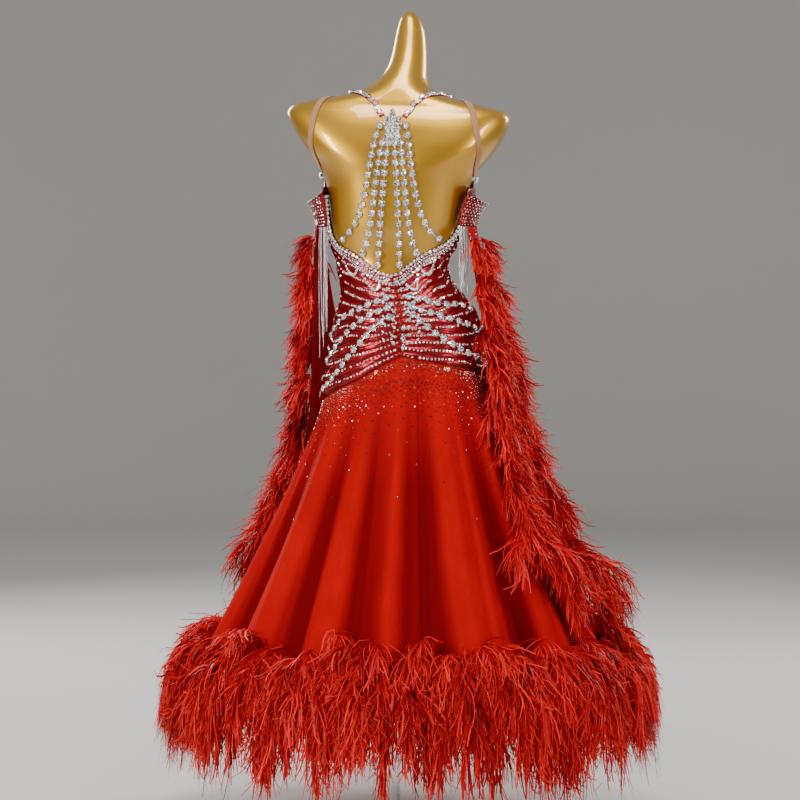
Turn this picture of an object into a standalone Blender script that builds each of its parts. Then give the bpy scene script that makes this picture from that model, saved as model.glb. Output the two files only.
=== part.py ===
"""Ballroom dance dress on a gold display form, all sizes in metres.

+Z is up, the wearer's back faces -Y and the wearer's right hand side is at +X.  The origin is the
centre of the stand base's underside.  Angles run round the body from the centre back towards +X.
"""

import math

import bmesh
import bpy
import numpy as np
from mathutils import Vector
from mathutils.bvhtree import BVHTree

WALL = 0.002  # cloth, as a single wall
BACK_CLEARANCE, FRONT_CLEARANCE = 0.0023, 0.0050  # between the form and the cloth on it
SEAM_HALF_GAP = 0.0003
EDGE_GAP = 0.0014  # the skirt's top edge below the bodice's lower edge
TOUCH_GAP = 0.0006  # between a trim and the cloth that carries it

# The display form, a row for each level: half width, depth behind and in front of the centre,
# centre x, centre y, and the power of the superellipse (2 is an ellipse, more is squarer).
FORM_COLUMNS = ("level", "half_width", "behind", "front", "centre_x", "centre_y", "power")
FORM_SECTIONS = (
    (0.712, 0.138, 0.092, 0.088, 0.028, 0.000, 2.2),
    (0.740, 0.151, 0.102, 0.096, 0.028, 0.000, 2.2),
    (0.800, 0.162, 0.118, 0.102, 0.027, 0.000, 2.2),
    (0.860, 0.167, 0.124, 0.104, 0.027, 0.000, 2.2),
    (0.910, 0.161, 0.121, 0.105, 0.027, 0.000, 2.1),
    (0.950, 0.1535, 0.113, 0.104, 0.028, 0.000, 2.1),
    (1.002, 0.143, 0.098, 0.100, 0.028, 0.000, 2.1),
    (1.030, 0.1355, 0.089, 0.096, 0.026, 0.001, 2.1),
    (1.070, 0.116, 0.076, 0.088, 0.016, 0.003, 2.1),
    (1.100, 0.106, 0.069, 0.083, 0.003, 0.004, 2.1),
    (1.132, 0.105, 0.067, 0.082, -0.003, 0.005, 2.1),
    (1.170, 0.121, 0.073, 0.088, -0.001, 0.006, 2.1),
    (1.204, 0.131, 0.081, 0.095, 0.003, 0.006, 2.1),
    (1.260, 0.139, 0.089, 0.103, 0.007, 0.006, 2.2),
    (1.300, 0.148, 0.093, 0.100, 0.009, 0.006, 2.3),
    (1.328, 0.163, 0.095, 0.092, 0.010, 0.006, 2.4),
    (1.350, 0.182, 0.094, 0.084, 0.010, 0.007, 2.6),
    (1.392, 0.210, 0.084, 0.070, 0.009, 0.008, 2.9),
    (1.426, 0.2225, 0.070, 0.057, 0.008, 0.008, 2.9),
    (1.440, 0.214, 0.062, 0.052, 0.008, 0.009, 2.8),
    (1.448, 0.190, 0.059, 0.050, 0.008, 0.009, 2.6),
    (1.458, 0.142, 0.056, 0.049, 0.009, 0.010, 2.5),
    (1.468, 0.098, 0.053, 0.048, 0.010, 0.011, 2.4),
    (1.480, 0.068, 0.050, 0.047, 0.011, 0.013, 2.2),
    (1.494, 0.0545, 0.047, 0.045, 0.014, 0.017, 2.1),
    (1.510, 0.0445, 0.043, 0.042, 0.019, 0.023, 2.0),
    (1.540, 0.037, 0.038, 0.038, 0.025, 0.034, 2.0),
    (1.570, 0.033, 0.034, 0.034, 0.027, 0.044, 2.0),
    (1.600, 0.0285, 0.029, 0.029, 0.0275, 0.051, 2.0),
    (1.628, 0.019, 0.020, 0.020, 0.026, 0.055, 2.0),
    (1.640, 0.008, 0.009, 0.009, 0.025, 0.056, 2.0),
)
FORM_LEVELS_BETWEEN = (0.885, 0.976, 1.05, 1.115, 1.15, 1.187, 1.232, 1.28)
FORM_STEPS_ROUND = 24
SHOULDER_TILT = 0.048  # the shoulders drop this much for each metre towards +X
TILT_FROM, TILT_TO = 1.20, 1.40  # levels between which that tilt grows

# Stand under the form
POLE_RADIUS = 0.0125
BASE_RADIUS = 0.19
COLLAR_TOP = 0.028

# Bodice edges: angle in degrees and level
YOKE_EDGE = (
    (-180, 0.880), (-150, 0.864), (-120, 0.853), (-90, 0.852), (-60, 0.872), (-30, 0.902),
    (0, 0.950), (30, 0.934), (60, 0.920), (90, 0.908), (120, 0.897), (150, 0.887), (180, 0.880),
)
NECKLINE = (
    (0, 1.108), (10, 1.115), (20, 1.128), (30, 1.142), (40, 1.154), (50, 1.163), (60, 1.172),
    (70, 1.190), (80, 1.236), (90, 1.295), (105, 1.305), (120, 1.315), (135, 1.330),
    (150, 1.338), (160, 1.345), (170, 1.302), (180, 1.248),
)
GATHER_AT_CENTRE, GATHER_AT_SIDE = 0.0020, 0.0030  # height of the ruched folds
BACK_GATHERS, FRONT_GATHERS = 13, 6
BACK_COLUMNS = 9
FRONT_COLUMNS = (90, 105, 120, 135, 150, 160, 170, 180, 190, 200, 210, 225, 240, 255, 270)

# Skirt, a circle skirt in four gores
HEM_LEVEL = 0.340
HEM_RADIUS = 0.395
HEM_CENTRE_X = 0.030
FLARE_POWER = 1.15  # over 1 keeps the skirt closer to the hips before it flares
FOLD_POWER = 1.3
SKIRT_STEPS_ROUND = 96
SKIRT_ROWS = 5
SEAM_COLUMNS = (3, 27, 51, 75)
# Flutes of the skirt: crest angle, half width in degrees, height at the hem
FLUTES = (
    (-176, 12, 0.030), (-153, 11, 0.026), (-131, 11, 0.030), (-109, 10, 0.026),
    (-89, 10, 0.030), (-67, 10, 0.030), (-42, 11, 0.034), (-19, 9, 0.024), (-2, 8, 0.018),
    (29, 15, 0.034), (54, 10, 0.022), (75, 10, 0.034), (97, 10, 0.026), (118, 11, 0.030),
    (140, 11, 0.028), (162, 11, 0.030),
)

# Feather locks at the hem: angle of the root above the level, angle at the tip, length
HEM_LAYERS = ((22, -78, 0.134), (-30, -95, 0.215), (-6, -86, 0.180), (-38, -102, 0.238))
HEM_STRIP_FROM, HEM_STRIP_TO = 0.87, 0.97  # shares of the skirt's length
HEM_STRIP_THICK = 0.004
HEM_LOCK_HALF_WIDTH, HEM_LOCK_HALF_THICK = 0.029, 0.009

# Armbands: a flattened loop that hugs the side of the bodice
BAND_ANGLE, BAND_HALF_ANGLE = 88, 27
BAND_INNER = 0.0096  # from the form to the loop's side against the bodice
# level at the body side, level at the outer side, half thickness of the loop
BAND_ROWS = ((1.205, 1.205, 0.010), (1.232, 1.226, 0.0105), (1.258, 1.243, 0.013), (1.284, 1.252, 0.0165))

# Floats: level at the back edge and at the front edge of the lower end, then for each side rows of
# level, back edge's angle and front edge's angle. The left one hangs further forward.
FLOAT_TOP = 1.2038
FLOAT_END_BACK, FLOAT_END_FRONT = 0.600, 0.480
FLOAT_EDGES = {
    "right": ((0.47, 45, 116), (0.60, 50, 115), (0.80, 60, 112), (1.00, 67, 109), (1.20, 72, 106)),
    "left": ((0.47, 104, 152), (0.60, 102, 148), (0.80, 97, 137), (1.00, 87, 124), (1.20, 74, 108)),
}
FLOAT_CLEAR = 0.012  # between the skirt's flutes and a float
FLOAT_HANG_SLOPE = 0.105  # how fast a float leaves the vertical on its way down
FLOAT_WALL = 0.0015
FLOAT_FOLDS = 6  # half pleats across a float
FLOAT_ROWS = 12

# Crystal chains over the open back: distance from the centre line and level
CHAIN_ROUTES = (
    ((0.0235, 1.410), (0.033, 1.374), (0.042, 1.316), (0.053, 1.258), (0.067, 1.215), (0.087, 1.186), (0.105, 1.1755)),
    ((0.0165, 1.376), (0.024, 1.325), (0.031, 1.265), (0.038, 1.208), (0.048, 1.166), (0.058, 1.142)),
    ((0.0055, 1.375), (0.011, 1.312), (0.015, 1.254), (0.0185, 1.192), (0.022, 1.1185)),
)
CHAIN_SPACING = 0.021
SWAG_TOP = 1.08
CRYSTAL_RADIUS = 0.006
LINK_RADIUS = 0.0018
SEAT_GAP = 0.0004
# Crystal swags on the ruching: angle and level
SWAG_ROUTES = {
    "crystal_swag_left_1": ((-5, 1.066), (-22, 1.054), (-37, 1.040), (-57, 1.022), (-80, 0.985)),
    "crystal_swag_left_2": ((-5, 1.048), (-18, 1.036), (-30, 1.023), (-45, 0.996), (-57, 0.968), (-74, 0.935)),
    "crystal_swag_left_3": ((-5, 1.030), (-17, 1.012), (-28, 0.981), (-38, 0.952), (-47, 0.922), (-58, 0.896), (-70, 0.880)),
    "crystal_swag_right_1": ((6, 1.068), (21, 1.060), (37, 1.052), (59, 1.050), (75, 1.038)),
    "crystal_swag_right_2": ((6, 1.050), (16, 1.040), (30, 1.029), (47, 1.018), (68, 1.003), (79, 0.994)),
    "crystal_swag_right_3": ((6, 1.036), (13, 1.020), (24, 0.995), (38, 0.973), (53, 0.954), (70, 0.940), (80, 0.931)),
}

# Straps: distance from the centre line, y and level of points near the shoulder
STONED_STRAP = (
    (0.021, -0.092, 1.430), (0.036, -0.078, 1.453), (0.056, -0.060, 1.470), (0.075, -0.040, 1.480),
    (0.093, -0.012, 1.480), (0.100, 0.025, 1.465), (0.095, 0.055, 1.430), (0.085, 0.080, 1.385),
    (0.076, 0.096, 1.349),
)
ELASTIC_STRAP = (
    (0.1485, 0.011, 1.304), (0.153, -0.020, 1.324), (0.163, -0.045, 1.352), (0.164, -0.062, 1.388),
    (0.160, -0.060, 1.420), (0.151, -0.045, 1.445), (0.140, -0.020, 1.458), (0.129, 0.010, 1.460),
    (0.120, 0.038, 1.445), (0.115, 0.060, 1.410), (0.112, 0.078, 1.372), (0.111, 0.088, 1.338),
)
ORNAMENT_LEVEL = 1.409
# Right half of the ornament's outline: distance from the centre line and height, from the top down
ORNAMENT_OUTLINE = (
    (0, 0.026), (0.006, 0.012), (0.0185, 0.011), (0.0125, 0.001), (0.0165, -0.010), (0.0155, -0.024),
    (0.007, -0.031), (0, -0.029),
)
ORNAMENT_THICK = 0.0045
STRAP_LIFT = 0.0026
STRAP_WALL = 0.0015

# Bead fringe under each armband
FRINGE_STRANDS = 16
FRINGE_SPAN = (250, 128)  # degrees round the armband's loop
FRINGE_LENGTH = {"left": 0.26, "right": 0.17}

COLOURS = {  # red, green, blue, metallic, roughness
    "gold": (0.62, 0.38, 0.09, 0.75, 0.22),
    "chrome": (0.75, 0.76, 0.78, 1.0, 0.12),
    "satin": (0.42, 0.012, 0.02, 0.1, 0.32),
    "chiffon": (0.75, 0.01, 0.01, 0.0, 0.6),
    "feather": (0.85, 0.015, 0.01, 0.0, 0.75),
    "crystal": (0.82, 0.84, 0.86, 0.6, 0.08),
    "elastic": (0.62, 0.34, 0.22, 0.0, 0.7),
}


def clear_scene():
    for item in list(bpy.data.objects):
        bpy.data.objects.remove(item)


def material(name):
    found = bpy.data.materials.get(name)
    if found:
        return found
    found = bpy.data.materials.new(name)
    found.use_nodes = True
    red, green, blue, metallic, roughness = COLOURS[name]
    shader = found.node_tree.nodes["Principled BSDF"]
    shader.inputs["Base Color"].default_value = (red, green, blue, 1.0)
    shader.inputs["Metallic"].default_value = metallic
    shader.inputs["Roughness"].default_value = roughness
    return found


def keep(item, colour):
    """Puts a finished object in the dress's collection, with its material and smooth faces."""
    item.data.materials.append(material(colour))
    bpy.data.collections["ballroom_dress"].objects.link(item)
    if item.type == "MESH":
        item.data.shade_smooth()
    return item


def smooth_table(at, knots, values):
    """Cubic through the knots that never overshoots: each slope is the harmonic mean of its neighbours."""
    at = np.clip(at, knots[0], knots[-1])
    steps = np.diff(knots)
    rises = np.diff(values) / steps
    together = rises[1:] * rises[:-1] > 0
    total = np.where(together, rises[1:] + rises[:-1], 1.0)
    inner = np.where(together, 2 * rises[1:] * rises[:-1] / total, 0.0)
    slopes = np.concatenate([rises[:1], inner, rises[-1:]])
    i = np.clip(np.searchsorted(knots, at, side="right") - 1, 0, len(knots) - 2)
    t = (at - knots[i]) / steps[i]
    start, end = (1 + 2 * t) * (1 - t) ** 2, t * t * (3 - 2 * t)
    leave, arrive = t * (1 - t) ** 2 * steps[i], t * t * (t - 1) * steps[i]
    return start * values[i] + end * values[i + 1] + leave * slopes[i] + arrive * slopes[i + 1]


def section(level):
    """The form's section at a level, as a dictionary of FORM_COLUMNS."""
    table = np.array(FORM_SECTIONS).T
    return {name: smooth_table(level, table[0], column) for name, column in zip(FORM_COLUMNS, table)}


def bump(distance, spread):
    return np.exp(-((distance / spread) ** 2))


def relief(angle, level):
    """Soft modelling of the form: spine hollow, shoulder blades and the two cups of the bust."""
    degrees = np.abs(np.degrees(angle))
    spine = -0.006 * bump(degrees, 11) * bump(level - 1.27, 0.13)
    blades = 0.005 * bump(degrees - 38, 18) * bump(level - 1.35, 0.05)
    cups = 0.020 * bump(degrees - 149, 16) * bump(level - 1.245, 0.045)
    return spine + blades + cups


def tilt(x, level):
    share = np.clip((level - TILT_FROM) / (TILT_TO - TILT_FROM), 0, 1)
    return -SHOULDER_TILT * x * share * share * (3 - 2 * share)


def body_point(angle, level, offset=0.0):
    """Point on the form at an angle (radians) and level, moved out by an offset."""
    angle, level = np.broadcast_arrays(np.asarray(angle, float), np.asarray(level, float))
    at = section(level)
    out = offset + relief(angle, level)
    sine, cosine = np.sin(angle), np.cos(angle)
    power = 2 / at["power"]
    depth = np.where(cosine > 0, at["behind"], at["front"]) + out
    x = at["centre_x"] + (at["half_width"] + out) * np.sign(sine) * np.abs(sine) ** power
    y = at["centre_y"] - depth * np.sign(cosine) * np.abs(cosine) ** power
    return np.stack([x, y, level + tilt(x, level)], axis=-1)


def turn(angle):
    """The angle brought to -180 to 180 degrees."""
    return (np.degrees(angle) + 180) % 360 - 180


def clearance(angle):
    """Gap between form and cloth: wider in front, where the cloth bridges the bust."""
    share = np.clip((np.abs(turn(angle)) - 90) / 30, 0, 1)
    return BACK_CLEARANCE + (FRONT_CLEARANCE - BACK_CLEARANCE) * share


def yoke_level(angle):
    edge = np.array(YOKE_EDGE).T
    return np.interp(turn(angle), edge[0], edge[1])


def neckline_level(angle):
    edge = np.array(NECKLINE).T
    return np.interp(np.abs(turn(angle)), edge[0], edge[1])


def skin(name, points, round_first=False, caps=False):
    """Mesh of quads over a grid of points: rows by columns, columns closed into a ring if asked."""
    rows, columns = points.shape[:2]
    bm = bmesh.new()
    grid = [[bm.verts.new(point) for point in row] for row in points]
    last = columns if round_first else columns - 1
    for r in range(rows - 1):
        for c in range(last):
            d = (c + 1) % columns
            bm.faces.new((grid[r][c], grid[r][d], grid[r + 1][d], grid[r + 1][c]))
    if caps:
        bm.faces.new(grid[0][::-1])
        bm.faces.new(grid[-1])
    mesh = bpy.data.meshes.new(name)
    bm.to_mesh(mesh)
    bm.free()
    return bpy.data.objects.new(name, mesh)


def cloth(name, points, colour, wall=WALL, ring=False):
    """A sheet of cloth: an open surface given its thickness on the outer side."""
    sheet = skin(name, points, round_first=ring)
    thickness = sheet.modifiers.new("wall", "SOLIDIFY")
    thickness.thickness = wall
    thickness.offset = 1.0
    return keep(sheet, colour)


def form_points():
    levels = np.sort([row[0] for row in FORM_SECTIONS] + list(FORM_LEVELS_BETWEEN))
    angles = np.radians(np.arange(FORM_STEPS_ROUND) * 360 / FORM_STEPS_ROUND)
    return body_point(angles[None, :], levels[:, None])


def make_form():
    keep(skin("form_torso", form_points(), round_first=True, caps=True), "gold")


def make_stand():
    under_form = FORM_SECTIONS[0][0] - SEAM_HALF_GAP
    low = COLLAR_TOP + SEAM_HALF_GAP
    bm = bmesh.new()
    bmesh.ops.create_cone(
        bm, cap_ends=True, segments=16, radius1=POLE_RADIUS, radius2=POLE_RADIUS, depth=under_form - low
    )
    mesh = bpy.data.meshes.new("stand_pole")
    bm.to_mesh(mesh)
    bm.free()
    pole = bpy.data.objects.new("stand_pole", mesh)
    pole.location = (0, 0, (under_form + low) / 2)
    keep(pole, "chrome")
    profile = ((0, COLLAR_TOP), (0.020, COLLAR_TOP), (0.027, 0.012), (0.170, 0.009), (BASE_RADIUS, 0.005),
               (BASE_RADIUS, 0), (0, 0))
    mesh = bpy.data.meshes.new("stand_base")
    edges = [(i, i + 1) for i in range(len(profile) - 1)]
    mesh.from_pydata([(radius, 0, level) for radius, level in profile], edges, [])
    base = bpy.data.objects.new("stand_base", mesh)
    screw = base.modifiers.new("turned", "SCREW")
    screw.steps = screw.render_steps = 40
    screw.use_merge_vertices = True
    screw.merge_threshold = 0.0001
    keep(base, "chrome")


def panel_angles(columns, radius):
    """Column angles of a panel, its two edges drawn in by half the seam's gap."""
    angles = np.radians(columns)
    inset = SEAM_HALF_GAP / radius
    angles[0] += inset
    angles[-1] -= inset
    return angles


def bodice_panel(name, columns, gathers):
    """Ruched panel: rows alternate between the valleys and the crests of its folds."""
    angles = panel_angles(columns, 0.12)[None, :]
    row = np.arange(2 * gathers + 1)[:, None]
    share = row / (2 * gathers)
    low, high = yoke_level(angles), neckline_level(angles)
    level = low + share * (high - low)
    height = GATHER_AT_CENTRE + (GATHER_AT_SIDE - GATHER_AT_CENTRE) * np.sin(angles) ** 2
    uneven = 0.8 + 0.2 * np.sin(2.3 * row + 2 * angles)
    gather = np.where(row % 2 == 1, height * uneven, 0.0)
    cloth(name, body_point(angles, level, clearance(angles) + gather), "satin")


def flute_height(angle):
    """Height of the skirt's flutes at the hem: raised cosines side by side."""
    degrees = turn(angle)
    height = np.zeros_like(degrees)
    for crest, half_width, most in FLUTES:
        away = np.abs((degrees - crest + 180) % 360 - 180) / half_width
        height = np.maximum(height, np.where(away < 1, most * 0.5 * (1 + np.cos(np.pi * away)), 0))
    return height


def skirt_point(angle, share, flutes=True):
    """Point on the skirt's inner side, share 0 at the yoke and 1 at the hem."""
    top = body_point(angle, yoke_level(angle), clearance(angle))
    top[..., 2] -= EDGE_GAP
    outward = np.stack([np.sin(angle), -np.cos(angle), np.zeros_like(angle)], axis=-1)
    hem = HEM_RADIUS * outward + np.array([HEM_CENTRE_X, 0, HEM_LEVEL])
    blend = np.stack([share**FLARE_POWER, share**FLARE_POWER, share], axis=-1)
    height = flute_height(angle) if flutes else np.full_like(angle, max(row[2] for row in FLUTES))
    return top + (hem - top) * blend + outward * (height * share**FOLD_POWER)[..., None]


def skirt_columns():
    return np.arange(SKIRT_STEPS_ROUND) * 2 * math.pi / SKIRT_STEPS_ROUND


def make_skirt():
    names = ("skirt_gore_right", "skirt_gore_front_right", "skirt_gore_front_left", "skirt_gore_left")
    shares = np.linspace(1, 0, SKIRT_ROWS + 1)[:, None]
    per_gore = SKIRT_STEPS_ROUND // len(names)
    for name, first in zip(names, SEAM_COLUMNS):
        angle = (first + np.arange(per_gore + 1)) * 2 * math.pi / SKIRT_STEPS_ROUND
        angle, share = np.broadcast_arrays(angle[None, :], shares)
        points = skirt_point(angle, share)
        along = np.stack([np.cos(angle), np.sin(angle), np.zeros_like(angle)], axis=-1)
        points[:, 0] += along[:, 0] * SEAM_HALF_GAP
        points[:, -1] -= along[:, -1] * SEAM_HALF_GAP
        cloth(name, points, "chiffon")


def grid_normals(points, ring):
    """Outward normals of a grid of points, rows running down or up and columns round."""
    if ring:
        across = np.roll(points, -1, axis=1) - np.roll(points, 1, axis=1)
    else:
        across = np.gradient(points, axis=1)
    along = np.gradient(points, axis=0)
    normals = np.cross(across, along)
    return normals / np.linalg.norm(normals, axis=-1, keepdims=True)


def strip_body(inner, outer, ring):
    """Closed strip between an inner and an outer grid of points. Returns the bmesh and outer faces."""
    rows, columns = outer.shape[:2]
    bm = bmesh.new()
    front = [[bm.verts.new(point) for point in row] for row in outer]
    back = [[bm.verts.new(point) for point in row] for row in inner]
    last = columns if ring else columns - 1
    faces = {}
    for c in range(last):
        d = (c + 1) % columns
        for r in range(rows - 1):
            faces[r, c] = bm.faces.new((front[r][c], front[r][d], front[r + 1][d], front[r + 1][c]))
        for r in range(len(back) - 1):
            bm.faces.new((back[r][c], back[r + 1][c], back[r + 1][d], back[r][d]))
        bm.faces.new((front[0][d], front[0][c], back[0][c], back[0][d]))
        bm.faces.new((front[-1][c], front[-1][d], back[-1][d], back[-1][c]))
    if not ring:
        for side, c in ((1, 0), (-1, columns - 1)):
            edge = [front[r][c] for r in range(rows)] + [back[r][c] for r in reversed(range(len(back)))]
            bm.faces.new(edge[::side])
    return bm, faces


def grow_lock(bm, face, outward, side, rise, drop, length, half_width, half_thick):
    """Draws a lock out of a face: it leaves at the angle rise and bends down to the angle drop."""
    centre = face.calc_center_median()
    up = Vector((0, 0, 1))
    corners = ((-1, -1), (1, -1), (1, 1), (-1, 1))
    steps = 24
    done = 0
    for share, width, thick in ((0.36, 1.0, 1.0), (0.74, 0.8, 0.62), (1.0, 0, 0)):
        while done < round(share * steps):
            slope = math.radians(rise + (drop - rise) * (done + 0.5) / steps)
            centre = centre + (outward * math.cos(slope) + up * math.sin(slope)) * (length / steps)
            done += 1
        if share == 1.0:
            tip = bmesh.ops.poke(bm, faces=[face])["verts"][0]
            tip.co = centre
            return
        across = up * math.cos(slope) - outward * math.sin(slope)
        face = bmesh.ops.extrude_discrete_faces(bm, faces=[face])["faces"][0]
        for vert, (wide, high) in zip(face.verts, corners):
            vert.co = centre + side * (wide * width * half_width) + across * (high * thick * half_thick)


def finish_strip(name, bm, colour):
    mesh = bpy.data.meshes.new(name)
    bm.to_mesh(mesh)
    bm.free()
    return keep(bpy.data.objects.new(name, mesh), colour)


def sway(index, amount):
    """An uneven but fixed variation from one lock to the next."""
    return amount * math.sin(2.4 * index) * math.cos(0.9 * index + 0.4)


def make_hem_feathers():
    """A ring of feather locks on a narrow strip that follows the skirt's flutes."""
    shares = np.array([HEM_STRIP_TO, (HEM_STRIP_FROM + HEM_STRIP_TO) / 2, HEM_STRIP_FROM])
    angle, share = np.broadcast_arrays(skirt_columns()[None, :], shares[:, None])
    surface = skirt_point(angle, share)
    normals = grid_normals(surface, ring=True)
    inner = (surface + normals * (WALL + TOUCH_GAP))[[0, 2]]
    outer = surface + normals * (WALL + TOUCH_GAP + HEM_STRIP_THICK)
    bm, faces = strip_body(inner, outer, ring=True)
    for column, middle in enumerate(skirt_columns() + math.pi / SKIRT_STEPS_ROUND):
        row = 1 - column % 2
        layer = 2 * (column // 2 % 2) + column % 2
        rise, drop, length = HEM_LAYERS[layer]
        heading = middle + sway(column, 0.10)
        outward = Vector((math.sin(heading), -math.cos(heading), 0))
        side = Vector((math.cos(heading), math.sin(heading), 0))
        grow_lock(
            bm, faces[row, column], outward, side, rise + sway(column + 5, 3), drop,
            length * (1 + sway(column, 0.06)), HEM_LOCK_HALF_WIDTH, HEM_LOCK_HALF_THICK,
        )
    finish_strip("hem_feather_band", bm, "feather")


def band_point(side, turn_round, level, half, extra=0.0):
    """Point on an armband's loop: it goes out, back, in and forward round the loop."""
    angle = side * np.radians(BAND_ANGLE + BAND_HALF_ANGLE * np.cos(turn_round))
    return body_point(angle, level, BAND_INNER + half * (1 + np.sin(turn_round)) + extra)


def make_armband(name, side):
    round_loop = np.linspace(0, 2 * math.pi, 16, endpoint=False)
    if side > 0:
        round_loop = -round_loop
    rows = []
    for inner_level, outer_level, half in BAND_ROWS:
        outerness = 0.5 + 0.5 * np.sin(round_loop)
        level = inner_level + (outer_level - inner_level) * outerness
        rows.append(band_point(side, round_loop, level, half))
    cloth(name, np.array(rows), "satin", ring=True)


def float_axis(level):
    """The axis that a float is measured from leans from the waist's centre to the hem's."""
    return np.interp(level, (0.9, 1.2), (HEM_CENTRE_X, 0.003))


def float_radius(angle, level):
    """The float hangs out from the armband, and lower down it lies clear of the skirt's flutes."""
    centre = float_axis(level)
    top = body_point(angle, np.full_like(angle, FLOAT_TOP), BAND_INNER + 2 * BAND_ROWS[0][2])
    hang = np.hypot(top[..., 0] - 0.003, top[..., 1]) + FLOAT_HANG_SLOPE * (FLOAT_TOP - level)
    yoke = yoke_level(angle)
    share = np.clip((yoke - level) / (yoke - HEM_LEVEL), 0, 1)
    under = skirt_point(angle, share, flutes=False)
    above = body_point(angle, np.maximum(level, yoke), clearance(angle) + GATHER_AT_SIDE + WALL)
    covered = np.where((share > 0)[..., None], under, above)
    lies = np.hypot(covered[..., 0] - centre, covered[..., 1]) + WALL + FLOAT_CLEAR
    softness = 0.001 + 0.012 * np.clip((FLOAT_TOP - level) / 0.1, 0, 1)
    return 0.5 * (hang + lies + np.hypot(hang - lies, softness))


def float_point(side, across, down):
    """Point on a float, across 0 at its back edge and 1 at its front edge, down 0 at the top."""
    end = FLOAT_END_BACK + (FLOAT_END_FRONT - FLOAT_END_BACK) * across
    level = FLOAT_TOP + (end - FLOAT_TOP) * down
    edges = np.array(FLOAT_EDGES["right" if side > 0 else "left"]).T
    back, front = (np.interp(level, edges[0], column) for column in edges[1:])
    angle = side * np.radians(back + (front - back) * across)
    pleat = 0.006 * down * (1 - np.cos(across * FLOAT_FOLDS * np.pi)) / 2
    radius = float_radius(angle, level) + pleat
    return np.stack([float_axis(level) + radius * np.sin(angle), -radius * np.cos(angle), level], axis=-1)


def facing_out(points, side):
    """Turns a float's rows to run up and its columns to run with the angle, so that faces point out."""
    return points[::-1] if side > 0 else points[::-1, ::-1]


def make_float(name, side):
    across, down = np.meshgrid(np.linspace(0, 1, FLOAT_FOLDS + 1), np.linspace(0, 1, FLOAT_ROWS + 1))
    cloth(name, facing_out(float_point(side, across, down), side), "chiffon", wall=FLOAT_WALL)


def float_facets(side, across, down, away):
    """Points on the flat facets of a float's solid rather than on its exact form, moved away from it."""
    rows, columns = np.linspace(0, 1, FLOAT_ROWS + 1), np.linspace(0, 1, FLOAT_FOLDS + 1)
    corners = float_point(side, *np.meshgrid(columns, rows))
    r = np.minimum((down * FLOAT_ROWS).astype(int), FLOAT_ROWS - 1)
    c = np.minimum((across * FLOAT_FOLDS).astype(int), FLOAT_FOLDS - 1)
    v, u = (down * FLOAT_ROWS - r)[..., None], (across * FLOAT_FOLDS - c)[..., None]
    upper = corners[r, c] * (1 - u) + corners[r, c + 1] * u
    lower = corners[r + 1, c] * (1 - u) + corners[r + 1, c + 1] * u
    points = upper * (1 - v) + lower * v
    outward = points - np.stack([float_axis(points[..., 2]), 0 * u[..., 0], points[..., 2]], axis=-1)
    return points + outward / np.linalg.norm(outward, axis=-1, keepdims=True) * away


def make_float_feathers(name, side):
    """A strip down the middle of a float with locks that fan backwards, outwards and forwards."""
    locks = 2 * FLOAT_ROWS - 2
    down = (1 + np.arange(locks + 1)) / (2 * FLOAT_ROWS)
    across, down = np.meshgrid(np.array([2.2, 3, 3.8]) / FLOAT_FOLDS, down)
    away = FLOAT_WALL + 0.0009
    inner = facing_out(float_facets(side, across, down, away), side)
    outer = facing_out(float_facets(side, across, down, away + 0.003), side)
    bm, faces = strip_body(inner, outer, ring=False)
    for row in range(locks):
        face = faces[row, row % 2]
        root = face.calc_center_median()
        heading = math.atan2(root.x - float_axis(root.z), -root.y) + (row * 2 % 3 - 1) * 0.65 + sway(row, 0.1)
        outward = Vector((math.sin(heading), -math.cos(heading), 0))
        sideways = Vector((math.cos(heading), math.sin(heading), 0))
        grow_lock(
            bm, face, outward, sideways, -4 + sway(row + 3, 5), -62,
            0.078 + sway(row, 0.010), 0.019, 0.006,
        )
    finish_strip(name, bm, "feather")


def evenly_round_loop(side, level, half, count):
    """Points of an armband's edge, evenly spaced from the float's edge to the inner side, and the loop's normals."""
    loop = np.radians(np.linspace(*FRINGE_SPAN, 400))
    points = band_point(side, loop, level, half)
    travelled = np.concatenate([[0], np.cumsum(np.linalg.norm(np.diff(points, axis=0), axis=1))])
    wanted = np.linspace(0, travelled[-1], count)
    spots = np.stack([np.interp(wanted, travelled, points[:, k]) for k in range(3)], axis=-1)
    along = np.gradient(spots, axis=0)
    normals = np.stack([along[:, 1], -along[:, 0], np.zeros(count)], axis=-1) * side
    return spots, normals / np.linalg.norm(normals, axis=-1, keepdims=True)


def make_bead_fringe(name, side):
    """Bead strands that hang from a narrow strip under the armband's lower edge, clear of the hip."""
    top = BAND_ROWS[0][0] - 0.0009
    inner, normals = evenly_round_loop(side, BAND_ROWS[0][0], BAND_ROWS[0][2], 2 * FRINGE_STRANDS)
    outer = inner + normals * WALL
    bm = bmesh.new()
    rings = []
    for near, far in zip(inner, outer):
        corners = ((*near[:2], top), (*far[:2], top), (*far[:2], top - 0.003), (*near[:2], top - 0.003))
        rings.append([bm.verts.new(corner) for corner in corners])
    lower = []
    for a, b in zip(rings[:-1], rings[1:]):
        for k in range(4):
            face = bm.faces.new((a[k], a[(k + 1) % 4], b[(k + 1) % 4], b[k]))
            if k == 2:
                lower.append(face)
    bm.faces.new(rings[0][::-1])
    bm.faces.new(rings[-1])
    bmesh.ops.recalc_face_normals(bm, faces=bm.faces)
    for strand, face in enumerate(lower[::2]):
        length = FRINGE_LENGTH["right" if side > 0 else "left"] + sway(strand, 0.09)
        length = min(length, clear_drop(face.calc_center_median()))
        for _ in range(2):
            face = bmesh.ops.extrude_discrete_faces(bm, faces=[face])["faces"][0]
            for vert in face.verts:
                vert.co.z -= length / 2
    finish_strip(name, bm, "crystal")


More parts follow.
